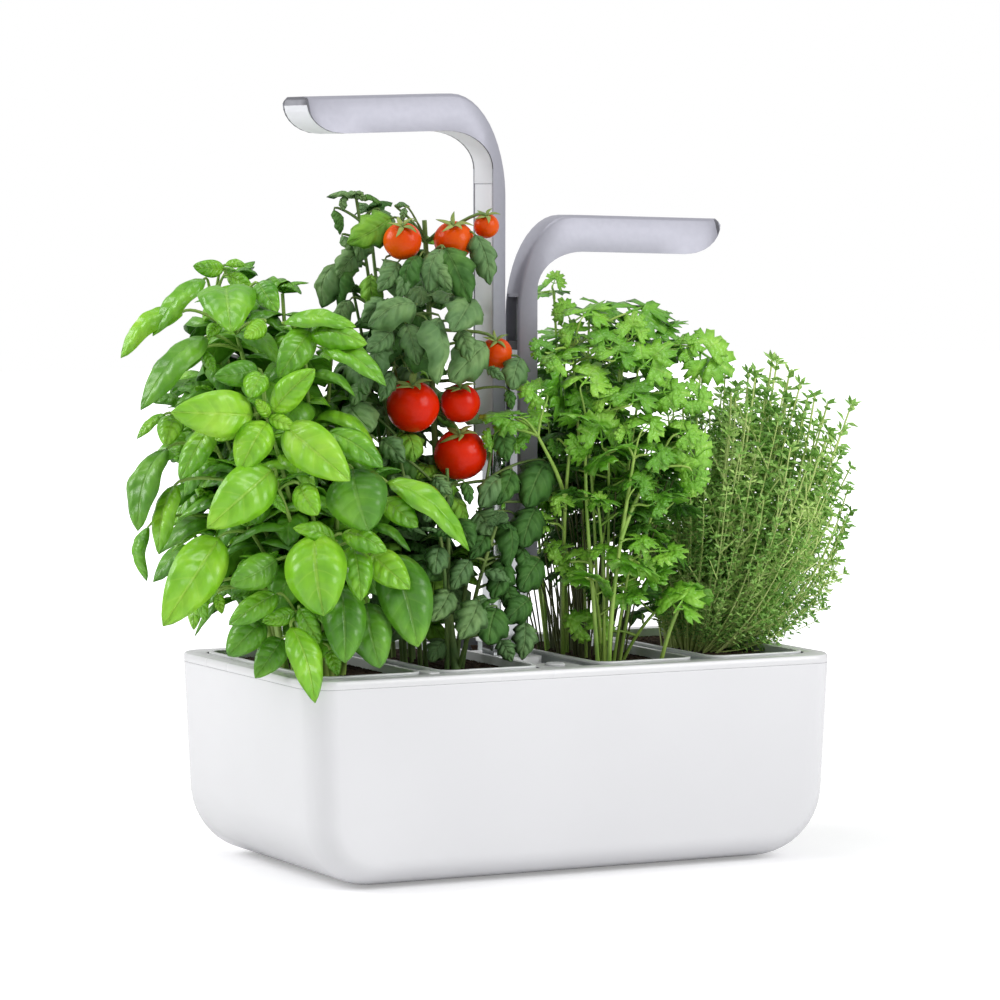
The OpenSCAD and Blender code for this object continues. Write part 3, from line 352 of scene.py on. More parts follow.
def settle(piece):
    # Place, turn and size go into the mesh
    activate(piece)
    bpy.ops.object.transform_apply(location=True, rotation=True, scale=True)


def join(name, parts):
    activate(*parts)
    bpy.ops.object.join()
    piece = bpy.context.view_layer.objects.active
    piece.name = piece.data.name = name
    settle(piece)
    return piece


def twin(shape, matrix):
    # Copy with a mesh of its own
    copy = shape.copy()
    copy.data = shape.data.copy()
    bpy.context.collection.objects.link(copy)
    copy.matrix_world = matrix
    return copy


def discard(*shapes):
    for shape in shapes:
        bpy.data.objects.remove(shape)


def copyOf(node):
    # Copy of a solid that carries none of its properties
    copy = nodes[node].copy()
    copy.data = nodes[node].data.copy()
    copy.parent = None
    for key in list(copy.keys()):
        del copy[key]
    bpy.context.collection.objects.link(copy)
    return copy


def startWelded(piece):
    # Edit mode with the whole piece chosen and its doubled points welded
    activate(piece)
    bpy.ops.object.mode_set(mode="EDIT")
    bpy.ops.mesh.select_all(action="SELECT")
    bpy.ops.mesh.remove_doubles(threshold=skinLook["weld"])


def paintFaces(piece, finish, chosen):
    # A second finish on the faces that the test picks
    piece.data.materials.append(finishes[finish])
    for face in piece.data.polygons:
        face.material_index = 1 if chosen(face) else 0


# Rigid pieces: weld in metres, angles in degrees
skinLook = {"weld": 0.00001, "flat": 0.3, "easeFrom": 40, "easeSteps": 2}


def skin(node, name, finish, body, slot, edge=0.0, angle=32):
    # Welded, smoothed copy of a solid, with its sharp edges eased
    piece = copyOf(node)
    piece.name = piece.data.name = name
    piece.matrix_world = Matrix.Identity(4)
    startWelded(piece)
    bpy.ops.mesh.dissolve_limited(angle_limit=math.radians(skinLook["flat"]))
    bpy.ops.object.mode_set(mode="OBJECT")
    if edge:
        ease = piece.modifiers.new("ease", "BEVEL")
        ease.width, ease.segments = edge * mm, skinLook["easeSteps"]
        ease.limit_method, ease.angle_limit = "ANGLE", math.radians(skinLook["easeFrom"])
        ease.use_clamp_overlap = True
        applyAll(piece)
    activate(piece)
    bpy.ops.object.shade_smooth_by_angle(angle=math.radians(angle))
    paint(piece, finish)
    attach(piece, body)
    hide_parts(node)
    return piece


rigidPieces = [
    # node, piece, finish, body, slot, eased edge
    ("outer_casing", "tub", "tubWhite", "base", "casing", 0.5),
    ("deck_cover", "deck", "deckWhite", "deck", "deck", 0.6),
    ("tower_base", "lampSocket", "deckWhite", "deck", "deck", 0.4),
    ("left_post", "leftPost", "postPolish", "deck", "post", 0.0),
    ("right_post", "rightPost", "postPolish", "deck", "post", 0.0),
    ("post_caps", "postCaps", "guideGrey", "deck", "guide", 0.3),
    ("lamp_button", "lampButton", "buttonSatin", "lamp_button", "button", 0.0),
    ("filling_plug", "fillingPlug", "deckWhite", "filling_plug", "plug", 0.5),
    ("power_inlet", "powerSocket", "inletBlack", "deck", "inlet", 0.15),
    ("rubber_feet", "feet", "footRubber", "base", "rubber_foot", 0.3),
]
for node, name, finish, body, slot, edge in rigidPieces:
    skin(node, name, finish, body, slot, edge)


# Steps of the lip (rise in millimetres, share of the width), depth of its top faces, height of its end, which
# is painted a darker copy of the shell's silver as painted shade
lipLook = {"steps": ((2.6, 0.9), (1.8, 0.8)), "topFaces": 0.4, "dark": 4.4}
# The arm and lid reaches set how far the painted seam shade runs
seamLook = {"arm": 1.25, "trayRim": 2.2, "lid": 0.55}  # reach of each seam or rim in millimetres


def liftLip(diffuser, top):
    # The diffuser's end rises behind the shell's tip and closes it; it is painted a darker copy of the
    # shell's silver, the lip's own colour with painted shade
    for rise, narrow in lipLook["steps"]:
        activate(diffuser)
        bpy.ops.object.mode_set(mode="EDIT")
        bpy.ops.mesh.select_mode(type="FACE")
        bpy.ops.mesh.select_all(action="DESELECT")
        bpy.ops.object.mode_set(mode="OBJECT")
        for face in diffuser.data.polygons:
            face.select = face.center.z > top - lipLook["topFaces"] * mm and face.normal.z > 0.8
        bpy.ops.object.mode_set(mode="EDIT")
        bpy.ops.mesh.extrude_region_move(TRANSFORM_OT_translate={"value": (0, 0, rise * mm)})
        bpy.ops.transform.resize(value=(1, narrow, 1), center_override=(0, 0, top))
        bpy.ops.object.mode_set(mode="OBJECT")
        top += rise * mm
    paintFaces(diffuser, "lipGrey", lambda face: face.center.z > top - lipLook["dark"] * mm)


def paintSeamShade(shell, covers, reach):
    # Edges of the shell that lie along its covers are painted dark grey: painted shade of the narrow gap
    # between shell and cover, which shows as a thin dark seam
    trees = []
    for cover in covers:
        points = [vertex.co for vertex in cover.data.vertices]
        trees.append(BVHTree.FromPolygons(points, [face.vertices for face in cover.data.polygons]))
    paintFaces(shell, "seamGrey",
               lambda face: any(tree.find_nearest(face.center)[3] < reach for tree in trees))


for side in sides:
    shell = skin(side + "_arm_shell", side + "Arm", "armSilver", side + "_arm", "arm_shell", 0.25, 28)
    diffuser = skin(side + "_diffuser", side + "Diffuser", "milkyWhite", side + "_arm", "diffuser", 0.0, 40)
    cover = skin(side + "_mast_cover", side + "MastCover", "milkyWhite", side + "_arm", "mast_cover", 0.3)
    liftLip(diffuser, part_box(side + "_diffuser")[1].z)
    paintSeamShade(shell, (diffuser, cover), seamLook["arm"] * mm)
for plant in plants:
    tray = skin(plant + "_tray", plant + "Tray", "trayClear", "deck", "tray", 0.5)
    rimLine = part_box(plant + "_tray")[1].z - seamLook["trayRim"] * mm
    paintFaces(tray, "trayRim", lambda face: face.center.z > rimLine)
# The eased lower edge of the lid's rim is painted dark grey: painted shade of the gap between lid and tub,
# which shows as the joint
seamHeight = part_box("outer_casing")[1].z
paintFaces(bpy.data.objects["deck"], "seamGrey",
           lambda face: abs(face.center.z - seamHeight) < seamLook["lid"] * mm)
print("rigid pieces dressed")

hiddenFinishes = {
    "water_tank": "tankGrey", "inlet_lead": "inletBlack",
    "electronics_pod": "podGrey", "pod_cover": "podGrey",
    "control_board": "boardGreen", "tact_switch": "inletBlack", "tower_screws": "steelBright",
}
for plant in plants:
    hiddenFinishes[plant + "_wicks"] = "wickFelt"
for side in sides:
    for part, finish in (("heat_spreader", "bareAluminium"), ("light_board", "boardWhite"),
                         ("light_chips", "chipYellow"), ("board_screws", "steelBright"),
                         ("guide_shoe", "guideGrey"), ("friction_spring", "steelBright"),
                         ("ribbon_lead", "ribbonPale")):
        hiddenFinishes[side + "_" + part] = finish
for node, finish in hiddenFinishes.items():
    paint(nodes[node], finish)


# Growing medium
soilLook = {"cells": (64, 150), "heave": 1.3, "sunk": 0.9, "rough": 0.45,
            "corner": 7.0, "slope": 6, "deep": 6,
            "crumbs": 90, "crumbSize": (1.2, 3.0), "crumbShape": (0.6, 0.45, 0.3), "crumbEdge": 4, "seed": 5}


def soilBlock(plant):
    low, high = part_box(plant + "_soil")
    size = high - low
    bpy.ops.mesh.primitive_grid_add(x_subdivisions=soilLook["cells"][0], y_subdivisions=soilLook["cells"][1],
                                    size=1, location=((low.x + high.x) / 2, (low.y + high.y) / 2, high.z))
    block = bpy.context.object
    block.scale = (size.x, size.y, 1)
    settle(block)
    chance = random.Random(soilLook["seed"])
    corner = soilLook["corner"] * mm
    middle = (low + high) / 2
    for vertex in block.data.vertices:
        # Corners are drawn in, and the surface heaves away from the walls
        x, y = vertex.co.x - middle.x, vertex.co.y - middle.y
        overX, overY = abs(x) - (size.x / 2 - corner), abs(y) - (size.y / 2 - corner)
        if overX > 0 and overY > 0:
            reach = math.hypot(overX, overY)
            pull = min(1.0, corner / reach) if reach > corner else 1.0
            vertex.co.x = middle.x + math.copysign(size.x / 2 - corner + overX * pull, x)
            vertex.co.y = middle.y + math.copysign(size.y / 2 - corner + overY * pull, y)
        wave = math.sin(x * 410 + 3 * math.sin(y * 170)) * math.sin(y * 330 + 2 * math.sin(x * 260))
        edge = min(size.x / 2 - abs(x), size.y / 2 - abs(y)) / (soilLook["slope"] * mm)
        heave = soilLook["heave"] * wave * min(1, max(0, edge)) * 0.5
        rough = chance.uniform(-soilLook["rough"], soilLook["rough"])
        vertex.co.z += (-soilLook["sunk"] + heave + rough) * mm
    walls = block.modifiers.new("walls", "SOLIDIFY")
    walls.thickness, walls.offset = soilLook["deep"] * mm, -1
    applyAll(block)
    bpy.ops.mesh.primitive_ico_sphere_add(subdivisions=1, radius=1)
    crumb = bpy.context.object
    parts = [block]
    inner = soilLook["crumbEdge"] * mm
    for _ in range(soilLook["crumbs"]):
        spot = Vector((chance.uniform(low.x + inner, high.x - inner),
                       chance.uniform(low.y + inner, high.y - inner), high.z - 0.8 * mm))
        crumbSize = [chance.uniform(*soilLook["crumbSize"]) * mm * k for k in soilLook["crumbShape"]]
        parts.append(twin(crumb, Matrix.Translation(spot) @ Matrix.Rotation(chance.uniform(0, 6.3), 4, "Z")
                          @ Matrix.Diagonal((*crumbSize, 1))))
    discard(crumb)
    piece = join(plant + "Soil", parts)
    paint(piece, "soil")
    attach(piece, "deck")
    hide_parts(plant + "_soil")


for plant in plants:
    soilBlock(plant)
print("growing medium made")
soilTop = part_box("basil_soil")[1].z - 1.0 * mm
plantBase = {}  # middle of each tray's growing medium, at its surface
for plant in plants:
    low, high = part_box(plant + "_soil")
    middle = (low + high) / 2
    plantBase[plant] = Vector((middle.x, middle.y, soilTop))


# Leaves and stalks
bladeKeys = ("belly", "round", "width", "dome", "hang", "tooth", "teeth", "pucker", "veins", "wave", "waves",
             "arch", "sway", "twist")


def bladeLooks(cells, thick, *rows):
    # One look for each row of values in the order of bladeKeys
    return [{"cells": cells, "thick": thick, **dict(zip(bladeKeys, row))} for row in rows]


def sheet(name, cells):
    bpy.ops.mesh.primitive_grid_add(x_subdivisions=cells[0], y_subdivisions=cells[1], size=1)
    leaf = bpy.context.object
    leaf.name = name
    return leaf


def thicken(leaf, thick, finish):
    # The sheet gets walls, smooth shading and a finish
    walls = leaf.modifiers.new("walls", "SOLIDIFY")
    walls.thickness, walls.offset = thick, 0
    applyAll(leaf)
    activate(leaf)
    bpy.ops.object.shade_smooth()
    paint(leaf, finish)
    return leaf


def blade(name, look, finish):
    # One leaf of length 1 along +X: a sheet drawn to its outline, domed beside its rib and arched,
    # so that its tip comes back
    leaf = sheet(name, look["cells"])
    for vertex in leaf.data.vertices:
        s, t = vertex.co.x + 0.5, vertex.co.y * 2
        swell = math.sin(math.pi * min(1, s ** look["belly"])) ** look["round"]
        tooth = 1 + look["tooth"] * (2 * ((s * look["teeth"]) % 1) - 1) * abs(t) ** 2
        half = look["width"] / 2 * max(0.012, swell) * tooth
        dome = look["dome"] * math.sin(math.pi * min(1, abs(t) * 1.1)) - look["hang"] * t * t
        fold = abs(math.sin(math.pi * (s * look["veins"] - abs(t) * 0.9)))
        pucker = look["pucker"] * fold * math.sin(math.pi * abs(t))
        wave = look["wave"] * math.sin(2 * math.pi * s * look["waves"] + (1.9 if t > 0 else 0)) * t * t
        lift = look["arch"] * math.sin(math.pi * s ** 0.85)
        vertex.co = (s, t * half + look["sway"] * math.sin(math.pi * s),
                     look["width"] * (dome + pucker + wave) * swell + lift + look["twist"] * t * s * half)
    return thicken(leaf, look["thick"], finish)


def at(spot, heading, dip, roll=0.0, size=1.0):
    # Frame of a leaf whose foot is at spot: heading round +Z, dip below level, roll about its own length
    return (Matrix.Translation(spot) @ Matrix.Rotation(math.radians(heading), 4, "Z")
            @ Matrix.Rotation(math.radians(dip), 4, "Y") @ Matrix.Rotation(math.radians(roll), 4, "X")
            @ Matrix.Scale(size, 4))


def stalk(path, thick, thin, finish, sides=2):
    # Smooth tapered stalk through five points
    bpy.ops.curve.primitive_nurbs_path_add(radius=1)
    line = bpy.context.object
    points = line.data.splines[0].points
    for point, spot, k in zip(points, path, range(5)):
        point.co = (*spot, 1)
        point.radius = thick + (thin - thick) * k / 4
    line.data.bevel_depth = 1
    line.data.bevel_resolution = sides - 2
    line.data.splines[0].resolution_u = 3 if sides > 2 else 2
    line.data.use_fill_caps = True
    activate(line)
    bpy.ops.object.convert(target="MESH")
    shape = bpy.context.object
    bpy.ops.object.shade_smooth()
    paint(shape, finish)
    return shape


def twig(foot, end, thick, finish):
    # Short straight stalk with three sides
    bpy.ops.mesh.primitive_cone_add(vertices=3, radius1=thick, radius2=thick * 0.8, depth=1)
    shape = bpy.context.object
    lean = end - foot
    shape.matrix_world = (Matrix.Translation(foot.lerp(end, 0.5))
                          @ lean.to_track_quat("Z", "Y").to_matrix().to_4x4()
                          @ Matrix.Diagonal((1, 1, lean.length, 1)))
    settle(shape)
    paint(shape, finish)
    return shape


def along(path, share):
    # Point on the line through a stalk's points
    place = min(max(share, 0), 0.9999) * (len(path) - 1)
    k = int(place)
    return path[k].lerp(path[k + 1], place - k)


def rising(plant, tip):
    # Five points of a stalk from the growing medium to its tip, which is a place in millimetres
    # from the medium's middle
    x, y, z = tip[:3]
    foot, joint, end = (plantBase[plant] + Vector(spot) * mm for spot in
                        ((0.28 * x, 0.6 * y, 0), (0.55 * x, 0.8 * y, 0.6 * z), (x, y, z)))
    return [foot, foot.lerp(joint, 0.5) + Vector((0, 0, 0.04 * z * mm)), joint, joint.lerp(end, 0.5), end]


def inMm(values):
    return [value * mm for value in values]


def around(face):
    # Level direction at an angle in degrees
    return math.cos(math.radians(face)), math.sin(math.radians(face))


def turnTo(x, z):
    return Matrix((x, z.cross(x), z)).transposed().to_4x4()


def inShell(spot, shell):
    # The spot as shares of the shell's reach from its middle
    middle, reach = shell
    return Vector([(spot[i] - middle[i]) / reach[i] for i in range(3)])


def shellOf(plant):
    middle, reach = plant["shell"]
    return Vector(middle) * mm, Vector(reach) * mm


def onSight(place, shell, lift=1.0):
    # Where the sight line through a pixel meets the shell round a plant, or passes nearest to it.
    # A third number is the depth, y in millimetres, that takes the shell's place
    line = sight(place)
    if len(place) > 2:
        return eye + line * ((place[2] * mm - eye.y) / line.y)
    start = inShell(eye, shell)
    step = Vector([line[i] / shell[1][i] for i in range(3)])
    a, b, c = step.dot(step), start.dot(step), start.dot(start) - lift * lift
    return eye + line * ((-b - math.sqrt(max(b * b - a * c, 0))) / a)


def laid(foot, tip, width, ratio, shell):
    # Frame of a leaf that shows from the pixel foot to the pixel tip, and as wide as it shows there
    start, line = onSight(foot, shell, 0.95), sight(tip)
    pixel = pixelAt(start)
    if len(tip) > 2:
        end = onSight(tip, shell)
    else:
        near = (start - eye).dot(line)
        gap = (eye + line * near - start).length
        length = max(gap * 1.06, width * pixel / ratio)
        end = eye + line * (near - math.sqrt(max(length * length - gap * gap, 0)))
        frontLimit = cadBox[0].y - room["front"] * mm
        if end.y < frontLimit:  # no tip hangs further over the tub's front
            end = eye + line * ((frontLimit - eye.y) / line.y)
    length = (end - start).length
    wide = max(width * pixel, ratio * length * 0.8)
    x = (end - start).normalized()
    toEye = (eye - start).normalized()
    facing = (toEye - x * toEye.dot(x)).normalized()
    upward = x.cross(facing)
    outward = start - shell[0]
    if upward.z + 0.6 * upward.dot(outward) / outward.length < 0:
        upward = -upward
    roll = math.acos(min(1, width * pixel / wide))
    z = facing * math.cos(roll) + upward * math.sin(roll)
    y = z.cross(x)
    turned = Matrix((x * length, y * wide / ratio, z * length)).transposed().to_4x4()
    return Matrix.Translation(start) @ turned, start, x


def stem(stems, foot, lead, thick, thin, finish):
    # Leaf stalk from the nearest point of the plant's stalks that lies lower than the leaf's foot
    root = min((p for p in stems if p.z < foot.z + 1 * mm), key=lambda p: (p - foot).length, default=stems[0])
    span = (foot - root).length
    path = [root, root.lerp(foot, 0.3) + Vector((0, 0, 0.12 * span)),
            root.lerp(foot, 0.55) + Vector((0, 0, 0.14 * span)), foot - lead * min(4 * mm, 0.25 * span), foot]
    return stalk(path, thick, thin, finish)


def placeLeaves(plant, name, shapes, stems, shell, chance):
    # Leaves along their sight lines, each on a leaf stalk
    parts = []
    for index, (foot, tip, width, *tone) in enumerate(plant["leaves"]):
        kind = index % len(shapes)
        frameOfLeaf, start, lead = laid(foot, tip, width, plant["blades"][kind]["width"], shell)
        parts.append(twin(shapes[kind], frameOfLeaf))
        paint(parts[-1], tone[0] if tone else chance.choice(plant["tones"]))
        parts.append(stem(stems, start, lead, *inMm(plant["leafStalk"]), name + "Stalk"))
    return parts


# Room in millimetres: half sides round the masts and of the plants, gap over the medium,
# reach past the front, and what stays free round a fruit
room = {"masts": (21, 19), "plants": (219, 104), "medium": 5, "front": 3, "fruit": 6}


def hides(spot, margin=room["fruit"] * mm):
    # Whether something at the spot would stand in front of a fruit
    toSpot = (spot - eye).normalized()
    for fruit, radius in fruits:
        across = (fruit - eye) - toSpot * (fruit - eye).dot(toSpot)
        if across.length < radius + margin and (spot - eye).length < (fruit - eye).length + radius:
            return True
    return False


def clear(spot, shell, near=0.86, far=1.12):
    # Fill stays behind the leaves that are placed one by one, off the masts and over the deck
    place = inShell(spot, shell)
    place.z *= 0.6 if place.z < 0 else 1.0
    place = place.length
    if hides(spot):
        return False
    limit = near if (spot - shell[0]).dot(ahead) < 0 else far
    return (place < limit and offMasts(spot) and abs(spot.x) < room["plants"][0] * mm
            and abs(spot.y) < room["plants"][1] * mm and spot.z > soilTop + room["medium"] * mm)


def offMasts(spot):
    return abs(spot.x) > room["masts"][0] * mm or abs(spot.y) > room["masts"][1] * mm


def fill(shapes, chance, matrix, shell, tones):
    # A leaf at the frame if its middle and tip are clear, and its sides off the masts
    if (all(clear(matrix @ Vector((s, 0, 0)), shell) for s in (0.5, 1.0))
            and all(offMasts(matrix @ Vector((0.4, side, 0))) for side in (-0.55, 0.55))):
        leaf = twin(chance.choice(shapes), matrix)
        paint(leaf, chance.choice(tones))
        return [leaf]
    return []


def grown(name, parts, node):
    piece = join(name, parts)
    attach(piece, "deck")
    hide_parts(node)
    print(name, sum(len(face.vertices) - 2 for face in piece.data.polygons), "triangles")


def fruitPlaces():
    # Middle and radius of each loose sphere of the solid
    startWelded(copyOf("tomato_fruits"))
    bpy.ops.mesh.separate(type="LOOSE")
    bpy.ops.object.mode_set(mode="OBJECT")
    places = []
    for ball in list(bpy.context.selected_objects):
        corners = [vertex.co for vertex in ball.data.vertices]
        low = Vector([min(c[i] for c in corners) for i in range(3)])
        high = Vector([max(c[i] for c in corners) for i in range(3)])
        places.append(((low + high) / 2, (high.x - low.x) / 2))
        bpy.data.objects.remove(ball)
    return sorted(places, key=lambda place: place[0].z)


# Fruits: lean of the stalk side in degrees, height from which they are orange, and the sepals
fruitLook = {"lean": 34, "orangeFrom": 160, "sepals": 5, "seed": 71,
             "sepal": bladeLooks((5, 2), 0.03,
                                 (0.6, 0.8, 0.28, 0.0, 0.05, 0.0, 1, 0.0, 1, 0.0, 1, 0.14, 0.08, 0.0))[0]}
fruits = fruitPlaces()
fruitLean = Matrix.Rotation(math.radians(fruitLook["lean"]), 3, sideways) @ Vector((0, 0, 1))


basil = {
    "shell": ((-134, -4, 214), (86, 96, 128)),
    "blades": bladeLooks((16, 6), 0.01,
        (0.8, 0.66, 0.6, 0.11, 0.06, 0.0, 1, 0.03, 4.0, 0.03, 2.0, 0.1, 0.03, 0.0),
        (0.84, 0.64, 0.62, 0.14, 0.15, 0.0, 1, 0.04, 4.0, 0.04, 1.5, 0.18, -0.03, 0.25),
        (0.78, 0.7, 0.58, 0.1, -0.02, 0.0, 1, 0.03, 4.0, 0.03, 2.5, 0.13, 0.0, -0.2)),
    "fillBlades": bladeLooks((9, 4), 0.012,
        (0.74, 0.8, 0.6, 0.12, 0.08, 0.0, 1, 0.0, 4.0, 0.03, 2.0, 0.16, 0.02, 0.1),
        (0.78, 0.75, 0.64, 0.14, 0.14, 0.0, 1, 0.0, 4.0, 0.04, 1.5, 0.24, -0.02, -0.2)),
    # Stalk tips from the middle of the medium: x, y, height
    "tips": [
        (-55, -62, 145), (-55, -18, 195), (-18, -30, 182), (12, 0, 170), (-45, 30, 200), (-60, 0, 150),
        (-58, -36, 110), (-55, 18, 96), (-50, -68, 105), (-15, -64, 125), (8, -58, 104), (-30, -72, 66),
        (-52, -52, 62), (-36, -64, 34), (0, -62, 46), (-25, 42, 212), (-8, 20, 206), (-52, 52, 140),
        (-25, 66, 150), (8, 52, 116), (-46, 56, 72), (-10, 62, 58), (-62, -8, 128), (-60, 34, 112),
        (-60, -50, 84), (-54, 8, 178), (-40, -72, 128), (-34, 64, 168)],
    # Leaves of the side that the camera sees: pixel of the foot, pixel of the tip, width in pixels, and for
    # some a tone: the paler one with painted light where the leaf is lit, the darker one with painted shade
    # where it lies in shadow
    "leaves": [
        ((224, 269), (193, 266), 18), ((225, 265), (246, 265), 6), ((228, 275), (253, 288), 16),
        ((204, 279), (153, 336), 19), ((182, 312), (121, 358), 20),
        ((226, 290), (231, 333), 58, "basilLeaf"), ((206, 337), (141, 410), 26, "basilDeep"),
        ((203, 351), (215, 373), 12), ((253, 415), (171, 412), 48, "basilLight"),
        ((273, 412), (315, 369), 30, "basilLight"), ((267, 422), (240, 471), 38, "basilLight"),
        ((286, 427), (350, 481), 48, "basilLight"), ((328, 432), (383, 467), 30, "basilLeaf"),
        ((269, 417), (256, 399), 14), ((269, 417), (297, 429), 16),
        ((258, 369), (214, 377), 26, "basilDeep"), ((262, 375), (250, 398), 26),
        ((310, 329), (278, 378), 34), ((284, 323), (356, 327), 15), ((310, 335), (367, 344), 22),
        ((324, 347), (386, 386), 26), ((265, 322), (244, 338), 20), ((218, 325), (208, 337), 14),
        ((258, 283), (278, 312), 26), ((165, 414), (137, 439), 9), ((175, 416), (166, 446), 26),
        ((167, 449), (138, 531), 26, "basilDeep"), ((212, 427), (180, 480), 28),
        ((246, 425), (215, 440), 18), ((272, 470), (207, 528), 52, "basilLight"),
        ((175, 485), (159, 554), 22), ((148, 527), (147, 581), 12),
        ((219, 538), (163, 626), 52, "basilLight"), ((197, 596), (194, 630), 14),
        ((208, 587), (205, 622), 14), ((217, 594), (222, 614), 12),
        ((277, 560), (230, 585), 34, "basilDeep"), ((315, 534), (324, 616), 62, "basilLight"),
        ((335, 540), (293, 528), 18), ((353, 545), (361, 601), 30), ((342, 534), (387, 551), 20),
        ((371, 554), (410, 589), 34), ((391, 554), (418, 647), 54, "basilDeep"),
        ((353, 469), (369, 531), 62, "basilDeep"), ((387, 482), (469, 551), 30, "basilLeaf"),
        ((340, 585), (345, 663), 44, "basilDeep"), ((367, 603), (380, 668), 42, "basilDeep"),
        ((291, 627, -88), (315, 703, -101), 34, "basilLight"), ((277, 594), (229, 625), 26),
        ((264, 621), (228, 656), 34, "basilDeep"), ((282, 639), (255, 678), 30, "basilDeep"),
        ((295, 612), (262, 622), 18), ((300, 608), (320, 643), 22), ((330, 650), (338, 676), 16),
        ((383, 500), (418, 527), 26), ((300, 485), (318, 515), 28), ((266, 493), (286, 514), 12)],
    # Outer leaves mostly take the paler tone, the fill inside the plant mostly the darker one: painted light
    # outside and painted shade inside, over leaf-to-leaf colour
    "tones": ("basilLight", "basilLeaf", "basilLeaf"), "fillTones": ("basilLeaf", "basilDeep", "basilDeep"),
    "stalk": (1.8, 1.0), "leafStalk": (1.0, 0.8), "fillLength": (28, 42), "tipLength": (10, 18),
    "stepUp": 18, "seed": 11,
}


def growBasil():
    chance = random.Random(basil["seed"])
    shell = shellOf(basil)
    shapes = [blade("basilBlade", look, "basilLeaf") for look in basil["blades"]]
    small = [blade("basilFill", look, "basilLeaf") for look in basil["fillBlades"]]
    parts, stems = [], []
    for tip in basil["tips"]:
        path = rising("basil", tip)
        parts.append(stalk(path, *inMm(basil["stalk"]), "basilStalk", 3))
        stems += [along(path, 0.1 + 0.06 * k) for k in range(16)]
        count = max(2, round(tip[2] / basil["stepUp"]))
        turn = chance.uniform(0, 90)
        for k in range(count):
            spot = along(path, 0.22 + 0.78 * (k + 1) / count)
            top = k == count - 1
            for side in (0, 180):
                size = chance.uniform(*basil["fillLength"]) * (0.6 if top else 1.0) * mm
                place = at(spot, turn + 90 * k + side + chance.uniform(-18, 18),
                           (-14 if top else 24) + chance.uniform(-14, 18), chance.uniform(-20, 20), size)
                parts += fill(small, chance, place, shell, basil["fillTones"])
        for k in range(4):  # young leaves on the tip
            place = at(path[4], turn + 90 * k, chance.uniform(-45, -5), 0,
                       chance.uniform(*basil["tipLength"]) * mm)
            parts.append(twin(small[0], place))
    parts += placeLeaves(basil, "basil", shapes, stems, shell, chance)
    discard(*shapes, *small)
    grown("basilPlant", parts, "basil_plant")


growBasil()


